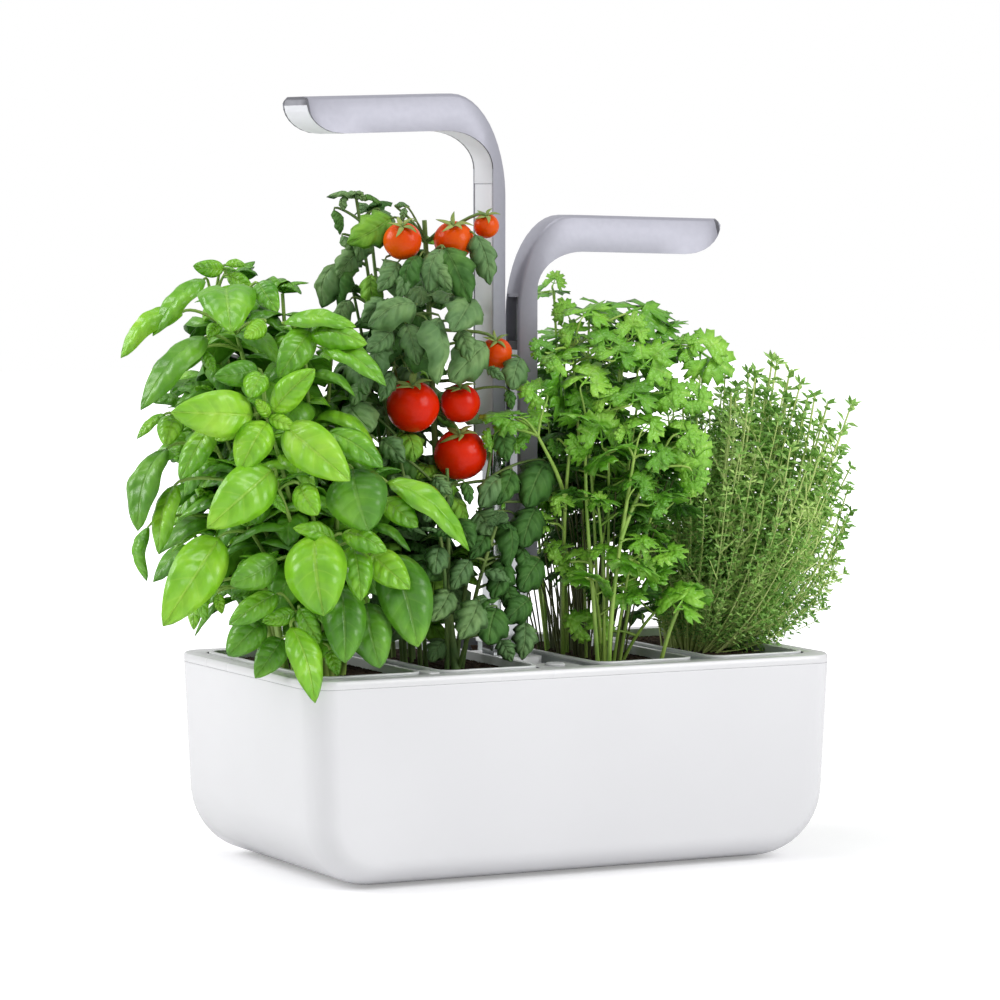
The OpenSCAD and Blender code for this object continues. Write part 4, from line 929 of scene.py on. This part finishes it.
tomato = {
    "shell": ((-58, -8, 240), (48, 54, 140)),
    "blades": bladeLooks((14, 6), 0.014,
        (0.74, 0.75, 0.66, 0.1, 0.18, 0.2, 3.5, 0.08, 3.5, 0.08, 2.6, 0.14, 0.03, 0.2),
        (0.8, 0.7, 0.72, 0.08, 0.28, 0.16, 2.8, 0.09, 3.0, 0.1, 2.0, 0.22, -0.04, -0.3)),
    "fillBlades": bladeLooks((8, 4), 0.016,
        (0.76, 0.75, 0.68, 0.1, 0.22, 0.18, 2.6, 0.0, 3.0, 0.08, 2.2, 0.18, 0.02, 0.2)),
    "tips": [
        (-38, 12, 258), (-20, 34, 250), (-36, 20, 206), (4, 36, 214), (-30, -12, 188), (-22, 14, 160),
        (-34, -28, 130), (-14, -52, 112), (14, -56, 80), (14, -44, 104), (0, -62, 34), (12, 50, 150),
        (-18, 56, 176), (-24, 60, 100), (10, 62, 90), (-22, -60, 76)],
    # Vine that bears the fruits, from the middle of the medium
    "vine": [(-2, -38, 0), (-2, -24, 48), (-2, -11, 95), (-2, -9, 180), (-8, -12, 246)],
    "leaves": [
        ((391, 218), (347, 244), 36, "tomatoFresh"), ((342, 236), (353, 258), 10),
        ((355, 192), (366, 201), 9), ((345, 196), (343, 211), 7), ((334, 210), (340, 235), 8),
        ((396, 205), (410, 207), 5), ((405, 208), (401, 222), 8), ((442, 249), (428, 293), 26),
        ((445, 248), (470, 303), 36), ((420, 256), (405, 290), 18),
        ((475, 235, -40), (490, 285, -48), 26), ((343, 263), (322, 308), 20),
        ((352, 262), (340, 312), 16), ((371, 275), (375, 310), 24, "tomatoFresh"),
        ((385, 260), (397, 303), 12), ((416, 305), (368, 327), 28), ((406, 324), (418, 365), 28),
        ((427, 320), (437, 385), 24), ((470, 298), (452, 332), 40),
        ((486, 345, -44), (450, 382, -50), 40), ((487, 368, -44), (505, 380, -52), 12),
        ((520, 358, -40), (512, 390, -48), 28), ((508, 390, -44), (512, 410, -50), 12),
        ((385, 342), (378, 380), 18), ((352, 362), (368, 395), 34), ((350, 405), (372, 432), 40),
        ((382, 440), (405, 462), 26), ((434, 478), (452, 494), 16), ((464, 482), (470, 505), 12),
        ((505, 478, -44), (480, 508, -52), 24), ((477, 512, -46), (492, 535, -54), 34),
        ((505, 520, -44), (508, 570, -54), 24), ((515, 515, -42), (528, 538, -50), 24),
        ((546, 462, -40), (526, 508, -50), 40, "tomatoLeaf"), ((518, 545, -46), (525, 578, -54), 14),
        ((484, 572, -54), (512, 582, -58), 10), ((478, 601, -60), (460, 640, -70), 34),
        ((497, 608, -60), (488, 645, -70), 40), ((525, 622, -56), (522, 660, -64), 26),
        ((440, 545), (435, 575), 26), ((395, 508), (412, 532), 24), ((372, 226), (358, 262), 22),
        ((398, 262), (378, 292), 24), ((360, 250), (335, 282), 26), ((408, 268), (398, 300), 20),
        ((386, 300), (362, 322), 22), ((430, 262), (452, 290), 22), ((350, 300), (338, 330), 18),
        ((392, 330), (366, 352), 26), ((440, 318), (428, 352), 22), ((460, 330), (470, 362), 22),
        ((366, 380), (352, 406), 22), ((392, 372), (380, 402), 18), ((444, 498), (424, 522), 22),
        ((456, 520), (474, 548), 26), ((430, 560), (414, 590), 22), ((450, 590), (432, 622), 30),
        ((505, 585, -50), (520, 612, -56), 22), ((420, 600), (410, 640), 26),
        ((470, 560), (452, 590), 24), ((488, 530, -46), (470, 560, -52), 22),
        ((444, 640), (430, 662), 22), ((500, 640, -60), (512, 662, -66), 20),
        ((380, 210), (395, 232), 16), ((412, 222), (398, 240), 14),
        ((536, 508, -46), (522, 548, -54), 34, "tomatoLeaf"),
        ((512, 470, -46), (498, 505, -54), 26, "tomatoLeaf"),
        ((540, 560, -46), (520, 592, -56), 32, "tomatoLeaf"),
        ((505, 560, -48), (492, 600, -58), 30, "tomatoLeaf"),
        ((530, 600, -54), (505, 622, -60), 30, "tomatoLeaf"),
        ((498, 430, -46), (508, 462, -54), 24, "tomatoLeaf")],
    # The fill inside the plant and the lower leaves listed with it take mostly the darker tomatoLeaf: partly
    # leaf colour, partly painted shade
    "tones": ("tomatoHazy", "tomatoHazy", "tomatoLeaf"),
    "fillTones": ("tomatoLeaf", "tomatoLeaf", "tomatoHazy", "tomatoFresh"),
    "vineStalk": (2.6, 1.4), "stalk": (1.4, 0.9), "leafStalk": (0.9, 0.6), "ribStalk": (1.0, 0.5),
    "fruitStalk": (1.1, 0.8), "leafLength": 34, "tipLength": (9, 17), "tipMargin": 12,
    "stepUp": 14, "seed": 23,
}


def tomatoSpray(shapes, chance, spot, face, dip, size, shell):
    # Compound leaf: leaflets in pairs along a drooping rib, and one at its end
    rib = [spot]
    slope = math.radians(dip)
    for k in range(4):
        slope += math.radians(9)
        x, y = around(face)
        step = Vector((x * math.cos(slope), y * math.cos(slope), -math.sin(slope)))
        rib.append(rib[-1] + step * size * 0.42)
    tones = tomato["fillTones"]
    end = at(rib[4], face, math.degrees(slope) + 5, chance.uniform(-15, 15), size)
    leaves = fill(shapes, chance, end, shell, tones)
    for k, share in ((2, 0.7), (3, 0.85)):
        for side in (-1, 1):
            place = at(rib[k], face + side * chance.uniform(52, 74), dip + chance.uniform(4, 30),
                       side * chance.uniform(0, 25), size * share * chance.uniform(0.8, 1.1))
            leaves += fill(shapes, chance, place, shell, tones)
    if len(leaves) < 3:
        discard(*leaves)
        return []
    return leaves + [stalk(rib, *inMm(tomato["ribStalk"]), "tomatoStalk")]


def growTomato():
    chance = random.Random(tomato["seed"])
    shell = shellOf(tomato)
    shapes = [blade("tomatoBlade", look, "tomatoLeaf") for look in tomato["blades"]]
    small = [blade("tomatoFill", look, "tomatoLeaf") for look in tomato["fillBlades"]]
    vine = [plantBase["tomato"] + Vector(spot) * mm for spot in tomato["vine"]]
    parts = [stalk(vine, *inMm(tomato["vineStalk"]), "tomatoStalk", 4)]
    vineStems = [along(vine, 0.1 + 0.045 * k) for k in range(20)]
    stems = list(vineStems)
    for tip in tomato["tips"]:
        path = rising("tomato", tip)
        parts.append(stalk(path, *inMm(tomato["stalk"]), "tomatoStalk", 3))
        stems += [along(path, 0.1 + 0.06 * k) for k in range(16)]
        turn = chance.uniform(0, 360)
        count = max(2, round(tip[2] / tomato["stepUp"]))
        for k in range(count):
            spot = along(path, 0.06 + 0.94 * (k + 1) / count)
            parts += tomatoSpray(small, chance, spot, turn + goldenTurn * k, chance.uniform(-10, 24),
                                 tomato["leafLength"] * chance.uniform(0.7, 1.0) * mm, shell)
        for k in range(4):  # young leaves on the tip
            frameOfLeaf = at(path[4], turn + 90 * k, chance.uniform(-40, 20), 0,
                             chance.uniform(*tomato["tipLength"]) * mm)
            tone = chance.choice(tomato["tones"])
            if not hides(path[4], tomato["tipMargin"] * mm):
                parts.append(twin(small[0], frameOfLeaf))
                paint(parts[-1], tone)
    parts += placeLeaves(tomato, "tomato", shapes, stems, shell, chance)
    for middle, radius in fruits:
        # Fruit stalk from the vine down to the dimple
        top = middle + fruitLean * radius * 0.86
        root = min((p for p in vineStems if p.z > top.z), key=lambda p: (p - top).length,
                   default=vineStems[19])
        path = [root, root.lerp(top, 0.35), root.lerp(top, 0.65) + Vector((0, 0, 5 * mm)),
                top + fruitLean * 6 * mm, top]
        parts.append(stalk(path, *inMm(tomato["fruitStalk"]), "tomatoStalk"))
    discard(*shapes, *small)
    grown("tomatoVine", parts, "tomato_vine")


parsley = {
    "shell": ((60, -4, 216), (62, 84, 112)),
    "fan": {"cells": (2, 20), "open": 92, "lobes": 5, "valley": 0.66, "notch": 0.93, "cup": 0.2,
            "wave": 0.09, "thick": 0.022},
    "fillCells": (1, 15),
    "tips": [
        (-28, -58, 136), (-22, -30, 176), (-6, 22, 205), (4, -2, 198), (30, 28, 192), (28, -4, 184),
        (10, -48, 146), (-16, -62, 118), (-26, -68, 94), (30, -42, 120), (-6, -70, 60), (-26, -62, 48),
        (24, -62, 38), (16, 50, 178), (-8, 60, 150), (28, 60, 122), (-24, 48, 138), (14, -22, 172),
        (-14, 20, 162), (12, -66, 92), (30, 30, 136), (0, 66, 84)],
    # Leaves of the side that the camera sees: pixel of the middle, width and height in pixels,
    # and where the leaf points, in degrees
    "leaves": [
        ((556, 278), 20, 16, 70), ((565, 308), 26, 22, 110), ((593, 309), 42, 20, 60),
        ((646, 305), 60, 27, 45), ((669, 324), 38, 18, 20), ((634, 325), 30, 28, 80),
        ((604, 337), 32, 26, 120), ((714, 361), 44, 50, -30), ((690, 345), 30, 26, 20),
        ((656, 356), 44, 40, 40), ((556, 360, -40), 34, 16, 150), ((591, 374), 42, 28, 60),
        ((635, 391), 42, 28, 80), ((532, 390, -44), 30, 26, 160), ((561, 400), 18, 48, -90),
        ((500, 416, -46), 40, 18, 170), ((533, 416, -46), 36, 18, 10), ((516, 440, -46), 26, 26, -90),
        ((492, 442, -48), 20, 20, -110), ((602, 426), 38, 40, 90), ((557, 449), 14, 18, -90),
        ((584, 451), 22, 32, -80), ((626, 432), 18, 20, 90), ((662, 451), 34, 22, 20),
        ((698, 460), 38, 40, -50), ((694, 484), 28, 28, -80), ((645, 538), 30, 12, 10),
        ((671, 551), 34, 18, 0), ((644, 568), 24, 26, -60), ((632, 594), 32, 26, -30),
        ((684, 598, -80), 44, 34, 60), ((578, 621), 30, 28, 150), ((604, 628), 24, 24, 30),
        ((556, 548), 26, 20, 150), ((580, 556), 26, 18, 40), ((604, 548), 26, 20, 90),
        ((622, 560), 24, 18, 20), ((566, 566), 24, 16, 200), ((575, 330), 30, 22, 100),
        ((620, 350), 34, 24, 70), ((580, 400), 30, 26, 110), ((650, 420), 34, 26, 60),
        ((610, 395), 30, 24, 90), ((540, 345, -44), 22, 18, 120), ((675, 390), 34, 30, 10),
        ((700, 400), 28, 30, -20), ((640, 480), 26, 22, 60), ((560, 500), 22, 20, 120),
        ((660, 500), 26, 22, 30), ((540, 520, -44), 22, 18, 160), ((600, 500), 20, 18, 80),
        ((690, 430), 30, 24, 20)],
    # Long stalks that show in front: pixels from the foot up, each with its depth.
    # A stalk that starts below the row of footRow stands in the medium
    "longStalks": [
        ((563, 632, -10), (562, 585, -24), (564, 530, -38), (565, 484, -48), (570, 452, -54)),
        ((565, 500, -45), (561, 478, -50), (552, 462, -54), (545, 450, -56), (538, 436, -58)),
        ((609, 656, -66), (610, 612, -72), (616, 565, -76), (626, 510, -78), (634, 458, -76)),
        ((621, 540, -77), (630, 510, -76), (640, 492, -74), (650, 474, -72), (660, 458, -70)),
        ((660, 656, -66), (666, 640, -72), (671, 626, -76), (676, 614, -78), (682, 602, -78)),
        ((598, 652, -58), (594, 600, -60), (588, 540, -60), (584, 490, -58), (586, 440, -56))],
    "footRow": 600, "sprayFoot": 0.12,
    # Outer sprays mostly take the paler tone, the fill inside and low in the plant the darker ones: painted
    # light outside, painted shade inside, over leaf-to-leaf colour
    "tones": ("parsleyLight", "parsleyLight", "parsleyLeaf"),
    "fillTones": ("parsleyLeaf", "parsleyDeep", "parsleyDeep"),
    "stalk": (1.0, 0.7), "leafStalk": (0.9, 0.5), "branch": (0.7, 0.45), "thinStalk": (0.6, 0.4),
    "longStalk": (1.3, 0.9), "leafLength": (19, 27), "branches": 9, "thinStalks": 60, "seed": 37,
}


def fanLeaf(name, look):
    # Lobed fan of reach 1 that opens along +X, with a notch in each lobe
    fan = sheet(name, look["cells"])
    for vertex in fan.data.vertices:
        s, t = 0.04 + 0.96 * (vertex.co.x + 0.5), vertex.co.y * 2
        part = (t + 1) / 2 * look["lobes"]
        inLobe = abs(part - math.floor(part + 1e-6) - 0.5) * 2  # 1 between two lobes, 0 in a lobe's middle
        edge = look["valley"] if inLobe > 0.9 else 1.0 if inLobe > 0.3 else look["notch"]
        reach = s * (1 - (1 - edge) * s * s) * (1 - 0.2 * abs(t))
        turn = math.radians(look["open"]) * t
        vertex.co = (reach * math.cos(turn), reach * math.sin(turn),
                     -look["cup"] * reach * reach + look["wave"] * math.sin(math.pi * 2 * part) * s * s * 0.5)
    return thicken(fan, look["thick"], "parsleyLeaf")


def parsleySpray(fan, chance, name):
    # Leaf of three fans on short stalks, of length about 1 along +X from its foot
    fork = Vector((parsley["sprayFoot"], 0, 0))
    toFork = Matrix.Translation((parsley["sprayFoot"], 0, 0))
    parts = [twig(Vector((0, 0, 0)), fork, 0.035, "parsleyStalk")]
    for turn, start, size in ((0, 0.42, 0.66), (62, 0.24, 0.58), (-62, 0.24, 0.58)):
        swing = Matrix.Rotation(math.radians(turn + chance.uniform(-8, 8)), 4, "Z")
        dip = Matrix.Rotation(math.radians(chance.uniform(-10, 26)), 4, "Y")
        tilt = Matrix.Rotation(math.radians(chance.uniform(-22, 22)), 4, "X")
        parts.append(twin(fan, toFork @ swing @ Matrix.Translation((start * 0.7, 0, 0)) @ dip @ tilt
                          @ Matrix.Scale(size, 4)))
        end = toFork @ swing @ Vector((start * 0.74, 0, 0))
        parts.append(twig(fork, end, 0.033, "parsleyStalk"))
    return join(name, parts)


def parsleyStanding(place, width, height, aim, shell):
    # Frame of a spray that shows as wide and high as its pixels say, with its foot and its direction
    middle = onSight(place, shell, 0.96)
    size = max(width, height) * pixelAt(middle) / 1.05
    if height < width:
        lean = math.acos(height / width)
        right, up = sideways, upwards * math.cos(lean) + ahead * math.sin(lean)
    else:
        lean = math.acos(width / height)
        right, up = sideways * math.cos(lean) + ahead * math.sin(lean), upwards
    x = right * math.cos(math.radians(aim)) + up * math.sin(math.radians(aim))
    foot = middle - x * size * 0.5
    return Matrix.Translation(foot) @ turnTo(x, right.cross(up)) @ Matrix.Scale(size, 4), foot, x


def growParsley():
    chance = random.Random(parsley["seed"])
    shell = shellOf(parsley)
    fan = fanLeaf("parsleyFan", parsley["fan"])
    small = fanLeaf("parsleyFill", {**parsley["fan"], "cells": parsley["fillCells"]})
    sprays = [parsleySpray(fan, chance, "parsleySpray") for _ in range(4)]
    fillSprays = [parsleySpray(small, chance, "parsleyFill") for _ in range(3)]
    parts, stems = [], []
    for tip in parsley["tips"]:
        path = rising("parsley", tip)
        parts.append(stalk(path, *inMm(parsley["stalk"]), "parsleyStalk", 3))
        stems += [along(path, 0.3 + 0.045 * k) for k in range(16)]
        span = path[4] - path[0]
        outward = math.degrees(math.atan2(span.y, span.x))
        spray = chance.choice(sprays)
        parts.append(twin(spray, at(path[4], outward, chance.uniform(-25, 15), chance.uniform(-25, 25),
                                    chance.uniform(20, 26) * mm)))
        for k in range(parsley["branches"]):
            spot = along(path, 0.42 + 0.56 * k / parsley["branches"])
            face = outward + goldenTurn * k + chance.uniform(-20, 20)
            reach = chance.uniform(8, 26) * mm
            x, y = around(face)
            end = spot + Vector((x * reach, y * reach, chance.uniform(2, 16) * mm))
            place = at(end, face, chance.uniform(-15, 35), chance.uniform(-30, 30),
                       chance.uniform(*parsley["leafLength"]) * mm)
            leaves = fill(fillSprays, chance, place, shell, parsley["fillTones"])
            if leaves:
                parts += leaves
                branch = [spot] + [spot.lerp(end, share) for share in (0.3, 0.55, 0.8)] + [end]
                parts.append(stalk(branch, *inMm(parsley["branch"]), "parsleyStalk"))
    for k in range(parsley["thinStalks"]):
        # Thin bare stalks low in the plant, painted dark green-brown: partly stalk colour, partly painted
        # shade low in the plant
        spread = Vector((chance.uniform(-16, 16), chance.uniform(-44, 44)))
        path = rising("parsley", (spread.x * 2.2, spread.y * 1.5, chance.uniform(50, 130)))
        parts.append(stalk(path, *inMm(parsley["thinStalk"]), "dryStalk"))
        face = chance.uniform(0, 360)
        place = at(path[4], face, chance.uniform(-20, 30), 0, chance.uniform(12, 18) * mm)
        parts += fill(fillSprays, chance, place, shell, ("parsleyDeep",))
    for places in parsley["longStalks"]:
        path = [onSight(place, shell) for place in places]
        if places[0][1] > parsley["footRow"]:
            path[0].z = soilTop
        parts.append(stalk(path, *inMm(parsley["longStalk"]), "parsleyStalk", 3))
        stems += [along(path, 0.2 + 0.1 * k) for k in range(9)]
    for place, width, height, aim in parsley["leaves"]:
        frameOfLeaf, foot, x = parsleyStanding(place, width, height, aim, shell)
        parts.append(twin(chance.choice(sprays), frameOfLeaf))
        paint(parts[-1], chance.choice(parsley["tones"]))
        parts.append(stem(stems, foot, x, *inMm(parsley["leafStalk"]), "parsleyStalk"))
    discard(fan, small, *sprays, *fillSprays)
    grown("parsleyPlant", parts, "parsley_plant")


growParsley()


thyme = {
    "shell": ((154, 0, 196), (62, 70, 80)), "sprigs": 180, "turn": 137.508, "foot": (10, 30), "lowest": -0.45,
    "leaf": (0.054, 0.025, 0.010), "pairs": 24, "twigs": 5, "bows": (0.05, 0.10, 0.2), "seed": 51,
    # Bare tips that stand out at the top, as pixels
    "tips": [(755, 372), (773, 360), (790, 372), (815, 395), (850, 405), (733, 392), (842, 430), (800, 384)],
}


def thymeTuft(leaf, chance, spot, count, size):
    return [twin(leaf, at(spot, 360 * k / count, chance.uniform(-62, -12), 0,
                          size * chance.uniform(0.8, 1.1))) for k in range(count)]


def thymeSprig(chance, bow, name):
    # Sprig of length 1 along +Z that bows to +X: pairs of small pointed leaves, side twigs,
    # and a tuft on each end
    length, width, thick = thyme["leaf"]
    bpy.ops.mesh.primitive_cone_add(vertices=4, radius1=1, radius2=0, depth=1)
    leaf = bpy.context.object
    leaf.matrix_world = (Matrix.Translation((length / 2, 0, 0))
                         @ Matrix.Diagonal((length / 2, width / 2, thick, 1)))
    settle(leaf)
    paint(leaf, "thymeLeaf")
    line = [Vector((bow * math.sin(math.pi * s ** 0.8), 0.02 * chance.uniform(-1, 1), s))
            for s in (0, 0.25, 0.5, 0.75, 1.0)]
    parts = [stalk(line, 0.0055, 0.0035, "thymeStalk")] + thymeTuft(leaf, chance, line[4], 5, 0.8)
    for k in range(thyme["pairs"]):
        spot = along(line, 0.12 + 0.86 * k / (thyme["pairs"] - 1))
        for side in (0, 180):
            parts.append(twin(leaf, at(spot, 90 * k + side + chance.uniform(-18, 18), chance.uniform(-40, 8),
                                       chance.uniform(-30, 30), chance.uniform(0.7, 1.1))))
    for k in range(thyme["twigs"]):
        foot = along(line, 0.2 + 0.15 * k)
        face = math.radians(goldenTurn * k + chance.uniform(-20, 20))
        end = foot + Vector((math.cos(face) * 0.07, math.sin(face) * 0.07, chance.uniform(0.07, 0.14)))
        parts.append(twig(foot, end, 0.0035, "thymeStalk"))
        parts += thymeTuft(leaf, chance, foot.lerp(end, 0.55), 3, 0.75) + thymeTuft(leaf, chance, end, 5, 0.8)
    discard(leaf)
    return join(name, parts)


def growThyme():
    chance = random.Random(thyme["seed"])
    sprigs = [[thymeSprig(chance, bow, "thymeSprig") for _ in range(3)] for bow in thyme["bows"]]
    middle, reach = shellOf(thyme)
    parts, ends = [], []
    for k in range(thyme["sprigs"]):
        height = 1 - (1 - thyme["lowest"]) * (k + 0.5) / thyme["sprigs"]
        turn = math.radians(thyme["turn"] * k)
        flat = math.sqrt(1 - height * height)
        sizes = (chance.uniform(0.86, 1.02), chance.uniform(0.86, 1.02), chance.uniform(0.55, 0.85))
        size = chance.choice(sizes)
        place = Vector((math.cos(turn) * flat * reach.x, math.sin(turn) * flat * reach.y, height * reach.z))
        ends.append(middle + place * size)
    ends += [onSight(place, (middle, reach), 1.05) for place in thyme["tips"]]
    for end in ends:
        out = end - middle
        offset = Vector((thyme["foot"][0] * out.x / reach.x, thyme["foot"][1] * out.y / reach.y, 0))
        foot = plantBase["thyme"] + offset * chance.uniform(0.3, 1) * mm
        lean = end - foot
        z = lean.normalized()
        x = (z * z.z - Vector((0, 0, 1))).normalized()
        bowed = sprigs[0 if z.z > 0.93 else 1 if z.z > 0.75 else 2]
        parts.append(twin(chance.choice(bowed),
                          Matrix.Translation(foot) @ turnTo(x, z) @ Matrix.Scale(lean.length, 4)))
    discard(*[sprig for bowed in sprigs for sprig in bowed])
    grown("thymePlant", parts, "thyme_plant")


growThyme()


def fruitShape():
    bpy.ops.mesh.primitive_uv_sphere_add(segments=28, ring_count=18, radius=1)
    fruit = bpy.context.object
    for vertex in fruit.data.vertices:
        # A dimple at the stalk and faint ribs
        x, y, z = vertex.co
        ring = math.hypot(x, y)
        dent = 0.16 * math.exp(-(ring / 0.3) ** 2) if z > 0 else 0.04 * math.exp(-(ring / 0.25) ** 2)
        rib = 1 + 0.012 * math.cos(5 * math.atan2(y, x)) * ring
        vertex.co = (x * rib, y * rib, z * (0.97 - dent))
    activate(fruit)
    bpy.ops.object.shade_smooth()
    return fruit


def growFruits():
    chance = random.Random(fruitLook["seed"])
    fruit = fruitShape()
    sepal = blade("sepal", fruitLook["sepal"], "calyx")
    parts = []
    for middle, radius in fruits:
        tilt = (Matrix.Rotation(math.radians(fruitLook["lean"]), 4, sideways)
                @ Matrix.Rotation(math.radians(chance.uniform(0, 70)), 4, "Z"))
        base = Matrix.Translation(middle) @ tilt
        parts.append(twin(fruit, base @ Matrix.Scale(radius, 4)))
        paint(parts[-1], "fruitOrange" if middle.z > soilTop + fruitLook["orangeFrom"] * mm else "fruitRed")
        for k in range(fruitLook["sepals"]):
            parts.append(twin(sepal, base @ Matrix.Translation((0, 0, radius * 0.9))
                              @ Matrix.Rotation(math.radians(360 / fruitLook["sepals"] * k), 4, "Z")
                              @ Matrix.Rotation(math.radians(chance.uniform(-30, 16)), 4, "Y")
                              @ Matrix.Scale(max(radius, 9 * mm) * chance.uniform(0.75, 1.05), 4)))
    discard(fruit, sepal)
    piece = join("tomatoFruits", parts)
    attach(piece, "deck")
    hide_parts("tomato_fruits")


growTomato()
growFruits()
print("plants grown")


# Stage, lights and camera
stage = {"floor": (0.86, 0.86, 0.87), "reach": 6.0, "skyDim": 0.56, "skyFull": 1.0}
bpy.ops.mesh.primitive_plane_add(size=2 * stage["reach"], location=(0, 0, 0))
floor = bpy.context.object
floor.name = "floor"
surface = Finish("floorPaper")
seen = surface.add("ShaderNodeLightPath", output="Is Camera Ray")
surface.set(Base_Color=stage["floor"], Roughness=0.9, Specular_IOR_Level=0.0, Emission_Color=(1.0, 1.0, 1.0))
away = surface.add("ShaderNodeVectorMath", {"operation": "LENGTH"}, {0: surface.place()}, "Value")
surface.feed(surface.surface.inputs["Emission Strength"], seen * (0.3 + away.between(0.45, 2.2) * 0.8))
floor.data.materials.append(surface.material)

world = bpy.data.worlds.new("studio")
bpy.context.scene.world = world
world.use_nodes = True
sky = world.node_tree
path = sky.nodes.new("ShaderNodeLightPath")
glow = sky.nodes["Background"]
glow.inputs["Color"].default_value = (1, 1, 1, 1)
show = sky.nodes.new("ShaderNodeMath")
show.operation = "MAXIMUM"
sky.links.new(path.outputs["Is Camera Ray"], show.inputs[0])
sky.links.new(path.outputs["Is Transmission Ray"], show.inputs[1])
level = sky.nodes.new("ShaderNodeMapRange")
level.inputs["To Min"].default_value = stage["skyDim"]
level.inputs["To Max"].default_value = stage["skyFull"]
sky.links.new(show.outputs[0], level.inputs["Value"])
sky.links.new(level.outputs[0], glow.inputs["Strength"])

lamps = [
    # name, place, aimed at, size, watts
    ("endPanel", (-2.0, 1.1, 1.5), (0, 0, 0.12), 1.4, 34),
    ("frontPanel", (1.3, -2.1, 1.4), (0, 0, 0.12), 1.6, 34),
    ("topPanel", (-0.3, 0.2, 2.6), (0, 0, 0.2), 1.2, 12),
]
for name, spot, aim, size, watts in lamps:
    bpy.ops.object.light_add(type="AREA", location=spot)
    lamp = bpy.context.object
    lamp.name = name
    lamp.data.size, lamp.data.energy = size, watts
    lamp.rotation_euler = (Vector(aim) - Vector(spot)).to_track_quat("-Z", "Y").to_euler()

bpy.ops.object.camera_add(location=eye)
camera = bpy.context.object
camera.rotation_euler = ahead.to_track_quat("-Z", "Y").to_euler()
camera.data.lens, camera.data.sensor_width = view["lens"], view["sensor"]
bpy.context.scene.camera = camera
bpy.context.scene.view_settings.view_transform = "Standard"

print("stage set")
